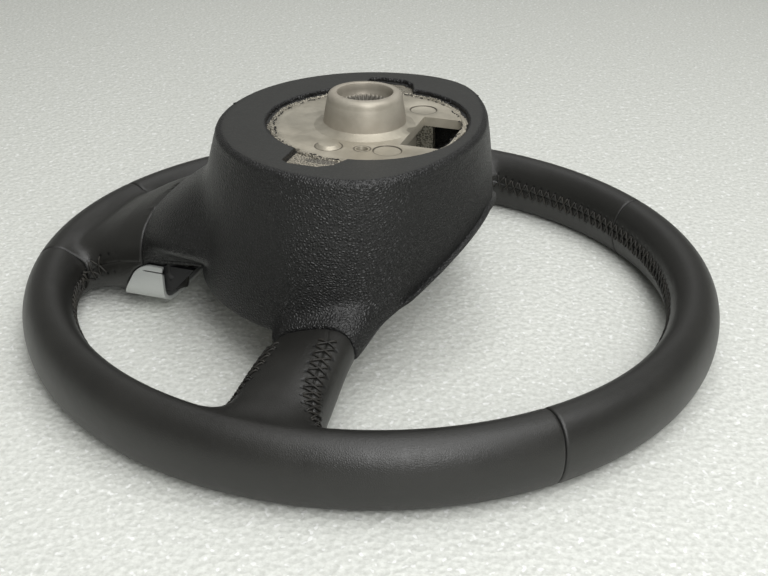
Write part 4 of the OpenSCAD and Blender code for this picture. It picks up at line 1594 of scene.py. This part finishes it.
@dataclass
class OpeningFlash:
    """Thin ragged skin of foam that crept over the plate, and the mould's pin marks on the flat back."""

    foam: FoamSurface
    pins: tuple = ((0, -78, 0), (48, -40, 0), (-48, -40, 0), (58.0, 40.2, -0.3), (-58.0, 40.2, -0.3),
                   (0, 51.2, 0))

    def skin(self) -> Obj:
        """The skin along the opening.

        Returns:
            Its mesh.
        """
        t = np.arange(0, 360, 0.5)
        q = fold(t)
        rng = np.random.default_rng(SEED + 2)
        soft = smoothed(rng.normal(0, 1, len(t) + 20), 17, 10) * 1.8
        sharp = np.where(rng.random(len(t)) > 0.8, rng.random(len(t)), 0.0) * 0.9
        width = np.clip(1.5 + soft + sharp, 0.5, 3.2)
        opening = self.foam.opening(q, t)
        top = self.foam.size.plate_top
        radii = [opening + 0.6, opening - 0.2, opening - width * 0.6, opening - width, opening - width + 0.1,
                 opening + 0.6]
        rises = [1.4, 0.9, 0.55 + sharp * 0.4, 0.25, -0.1, -0.1]
        heights = [top + np.broadcast_to(rise, t.shape) for rise in rises]
        return Bench.wrap("foam_flash", turned(np.stack(radii, axis=1), t, np.stack(heights, axis=1)))

    def crumbs(self) -> Obj:
        """Broken line of foam that stuck to the plate inside its ridge.

        Returns:
            Its mesh.
        """
        t = np.arange(0, 360, 0.5)
        q = fold(t)
        rng = np.random.default_rng(SEED + 3)
        wander = smoothed(rng.normal(0, 1, len(t) + 12), 9, 6)
        there = smoothed(rng.random(len(t) + 12), 5, 6) > 0.53
        base = np.minimum(self.foam.opening(q, t), self.foam.size.open_r + 1.0) - 4.4 + wander * 1.8
        wide = 0.12 + 0.4 * rng.random(len(t))
        lift = np.where(there, 0.25 + 0.35 * rng.random(len(t)), -0.2)
        top = self.foam.size.plate_top
        low = np.full(len(t), top - 0.25)
        radii = np.stack([base + wide, base + wide * 0.6, base - wide * 0.6, base - wide], axis=1)
        heights = np.stack([low, top + lift, top + lift, low], axis=1)
        return Bench.wrap("foam_crumbs", turned(radii, t, heights))

    def pin(self) -> Obj:
        """One shallow cup that a mould pin left.

        Returns:
            Its mesh, at the wheel's middle.
        """
        Bench.clear()
        middle = (0, 0, (self.foam.size.hub_top - 0.29) * MM)
        bpy.ops.mesh.primitive_cylinder_add(vertices=20, radius=1.5 * MM, depth=0.5 * MM,
                                            end_fill_type="NGON", location=middle)
        cup = Bench.fresh("pin_mark")
        Bench.edit(cup, "DESELECT")
        bpy.ops.mesh.select_mode(type="FACE")
        Bench.done()
        max(cup.data.polygons, key=lambda face: face.center.z).select = True
        bpy.ops.object.mode_set(mode="EDIT")
        bpy.ops.mesh.inset(thickness=0.3 * MM, depth=0)
        bpy.ops.mesh.inset(thickness=0.15 * MM, depth=-0.35 * MM)
        Bench.done()
        return cup

    def build(self, finishes: Finishes) -> None:
        """Joins the skin and the pin marks into one piece of foam."""
        cup = self.pin()
        marks = []
        for x, y, z in self.pins:
            mark = Bench.twin(cup, "pin_mark")
            mark.data.transform(Matrix.Translation((x * MM, y * MM, z * MM)))
            marks.append(mark)
        bpy.data.objects.remove(cup)
        piece = Bench.join([self.skin(), self.crumbs()] + marks, "foam_flash")
        Bench.smooth(piece, 40)
        Bench.deliver(piece, finishes.flash, "grained_foam")


# ---------------------------------------------------------------- room


@dataclass
class Studio:
    """Pale floor, soft lights and the camera."""

    eye: tuple = (0.5506088, 0.1789036, 0.3192868)
    right: tuple = (-0.3049843, 0.9522649, 0.0132728)
    up: tuple = (-0.4401808, -0.1533093, 0.8847243)
    back: tuple = (0.8445268, 0.2639846, 0.4659256)
    lens: float = 54.923

    def build_camera(self) -> None:
        """Camera at the photograph's place."""
        camera = bpy.data.objects.new("camera", bpy.data.cameras.new("camera"))
        bpy.context.scene.collection.objects.link(camera)
        turn = Matrix((self.right, self.up, self.back)).transposed()
        camera.matrix_world = Matrix.Translation(self.eye) @ turn.to_4x4()
        camera.data.sensor_width = 36.0
        camera.data.sensor_fit = "HORIZONTAL"
        camera.data.lens = self.lens
        camera.data.clip_end = 50
        bpy.context.scene.camera = camera

    def build_floor(self) -> None:
        """A large sheet of white packing foam with a fine sparkle."""
        Bench.clear()
        bpy.ops.mesh.primitive_grid_add(x_subdivisions=8, y_subdivisions=8, size=14)
        floor = Bench.fresh("floor")
        r = Recipe("pale_floor")
        cells = r.node("ShaderNodeTexVoronoi", {"Vector": r.place(), "Scale": 260.0, "Randomness": 1.0})
        speck = r.noise(420, 2)
        colour = r.blend(r.ramp(speck, 0.35, 0.65), (0.67, 0.685, 0.64, 1), (0.81, 0.825, 0.78, 1))
        glint = r.ramp(r.noise(260, 1), 0.64, 0.7)
        colour = r.blend(r.math("MULTIPLY", glint, 0.8), colour, (0.98, 0.99, 0.97, 1))
        normal = r.bump(cells.outputs["Distance"], 0.0012, 0.45)
        floor.data.materials.append(r.finish(Base_Color=colour, Roughness=0.45, Normal=normal))

    def lamp(self, name: str, place: Sequence[float], target: Sequence[float], size: Sequence[float],
             power: float) -> None:
        """A soft rectangular lamp."""
        data = bpy.data.lights.new(name, "AREA")
        data.shape = "RECTANGLE"
        data.size, data.size_y = size
        data.energy = power
        lamp = bpy.data.objects.new(name, data)
        bpy.context.scene.collection.objects.link(lamp)
        aim = (Vector(target) - Vector(place)).to_track_quat("-Z", "Y")
        lamp.matrix_world = Matrix.Translation(place) @ aim.to_matrix().to_4x4()

    def build(self) -> None:
        """Sets the whole room."""
        self.build_camera()
        self.build_floor()
        self.lamp("over_lamp", (0.2, 0.4, 1.5), (0.1, 0.05, 0), (1.5, 1.5), 17)
        self.lamp("back_lamp", (-1.2, -0.3, 1.6), (0, 0, 0.05), (1.0, 1.4), 3.5)
        self.lamp("front_lamp", (1.15, 0.66, 0.95), (0.1, 0.05, 0.05), (0.5, 1.2), 14)
        world = bpy.data.worlds.new("room")
        bpy.context.scene.world = world
        world.use_nodes = True
        sky = world.node_tree.nodes["Background"].inputs
        sky[0].default_value, sky[1].default_value = (1.0, 1.0, 0.95, 1), 0.21


def main() -> None:
    """Builds the wheel piece by piece."""
    logging.basicConfig(level=logging.INFO, format="%(name)s: %(message)s")
    bpy.context.scene.view_settings.view_transform = "Standard"
    Studio().build()
    finishes = Finishes()
    core = LeatherCover(LeatherSurface(SIZE)).build(finishes)
    HubShroud(FoamSurface(SIZE)).build(core, finishes)
    OpeningFlash(FoamSurface(SIZE)).build(finishes)
    Casting(FoamSurface(SIZE)).build(finishes)
    SteelBush(SIZE).build(finishes)
    SpokeTrim(SIZE).build(finishes)
    for node, finish in (("armature", finishes.alloy), ("splined_bush", finishes.steel),
                         ("spoke_trim", finishes.silver), ("trim_carrier", finishes.plastic),
                         ("trim_screws", finishes.screw), ("catch_spring_left", finishes.wire),
                         ("catch_spring_right", finishes.wire)):
        obj = frame["nodes"][node]
        for place in obj.material_slots:
            place.material = finish
        if not obj.material_slots:
            obj.data.materials.append(finish)


if __name__ == "__main__":
    main()
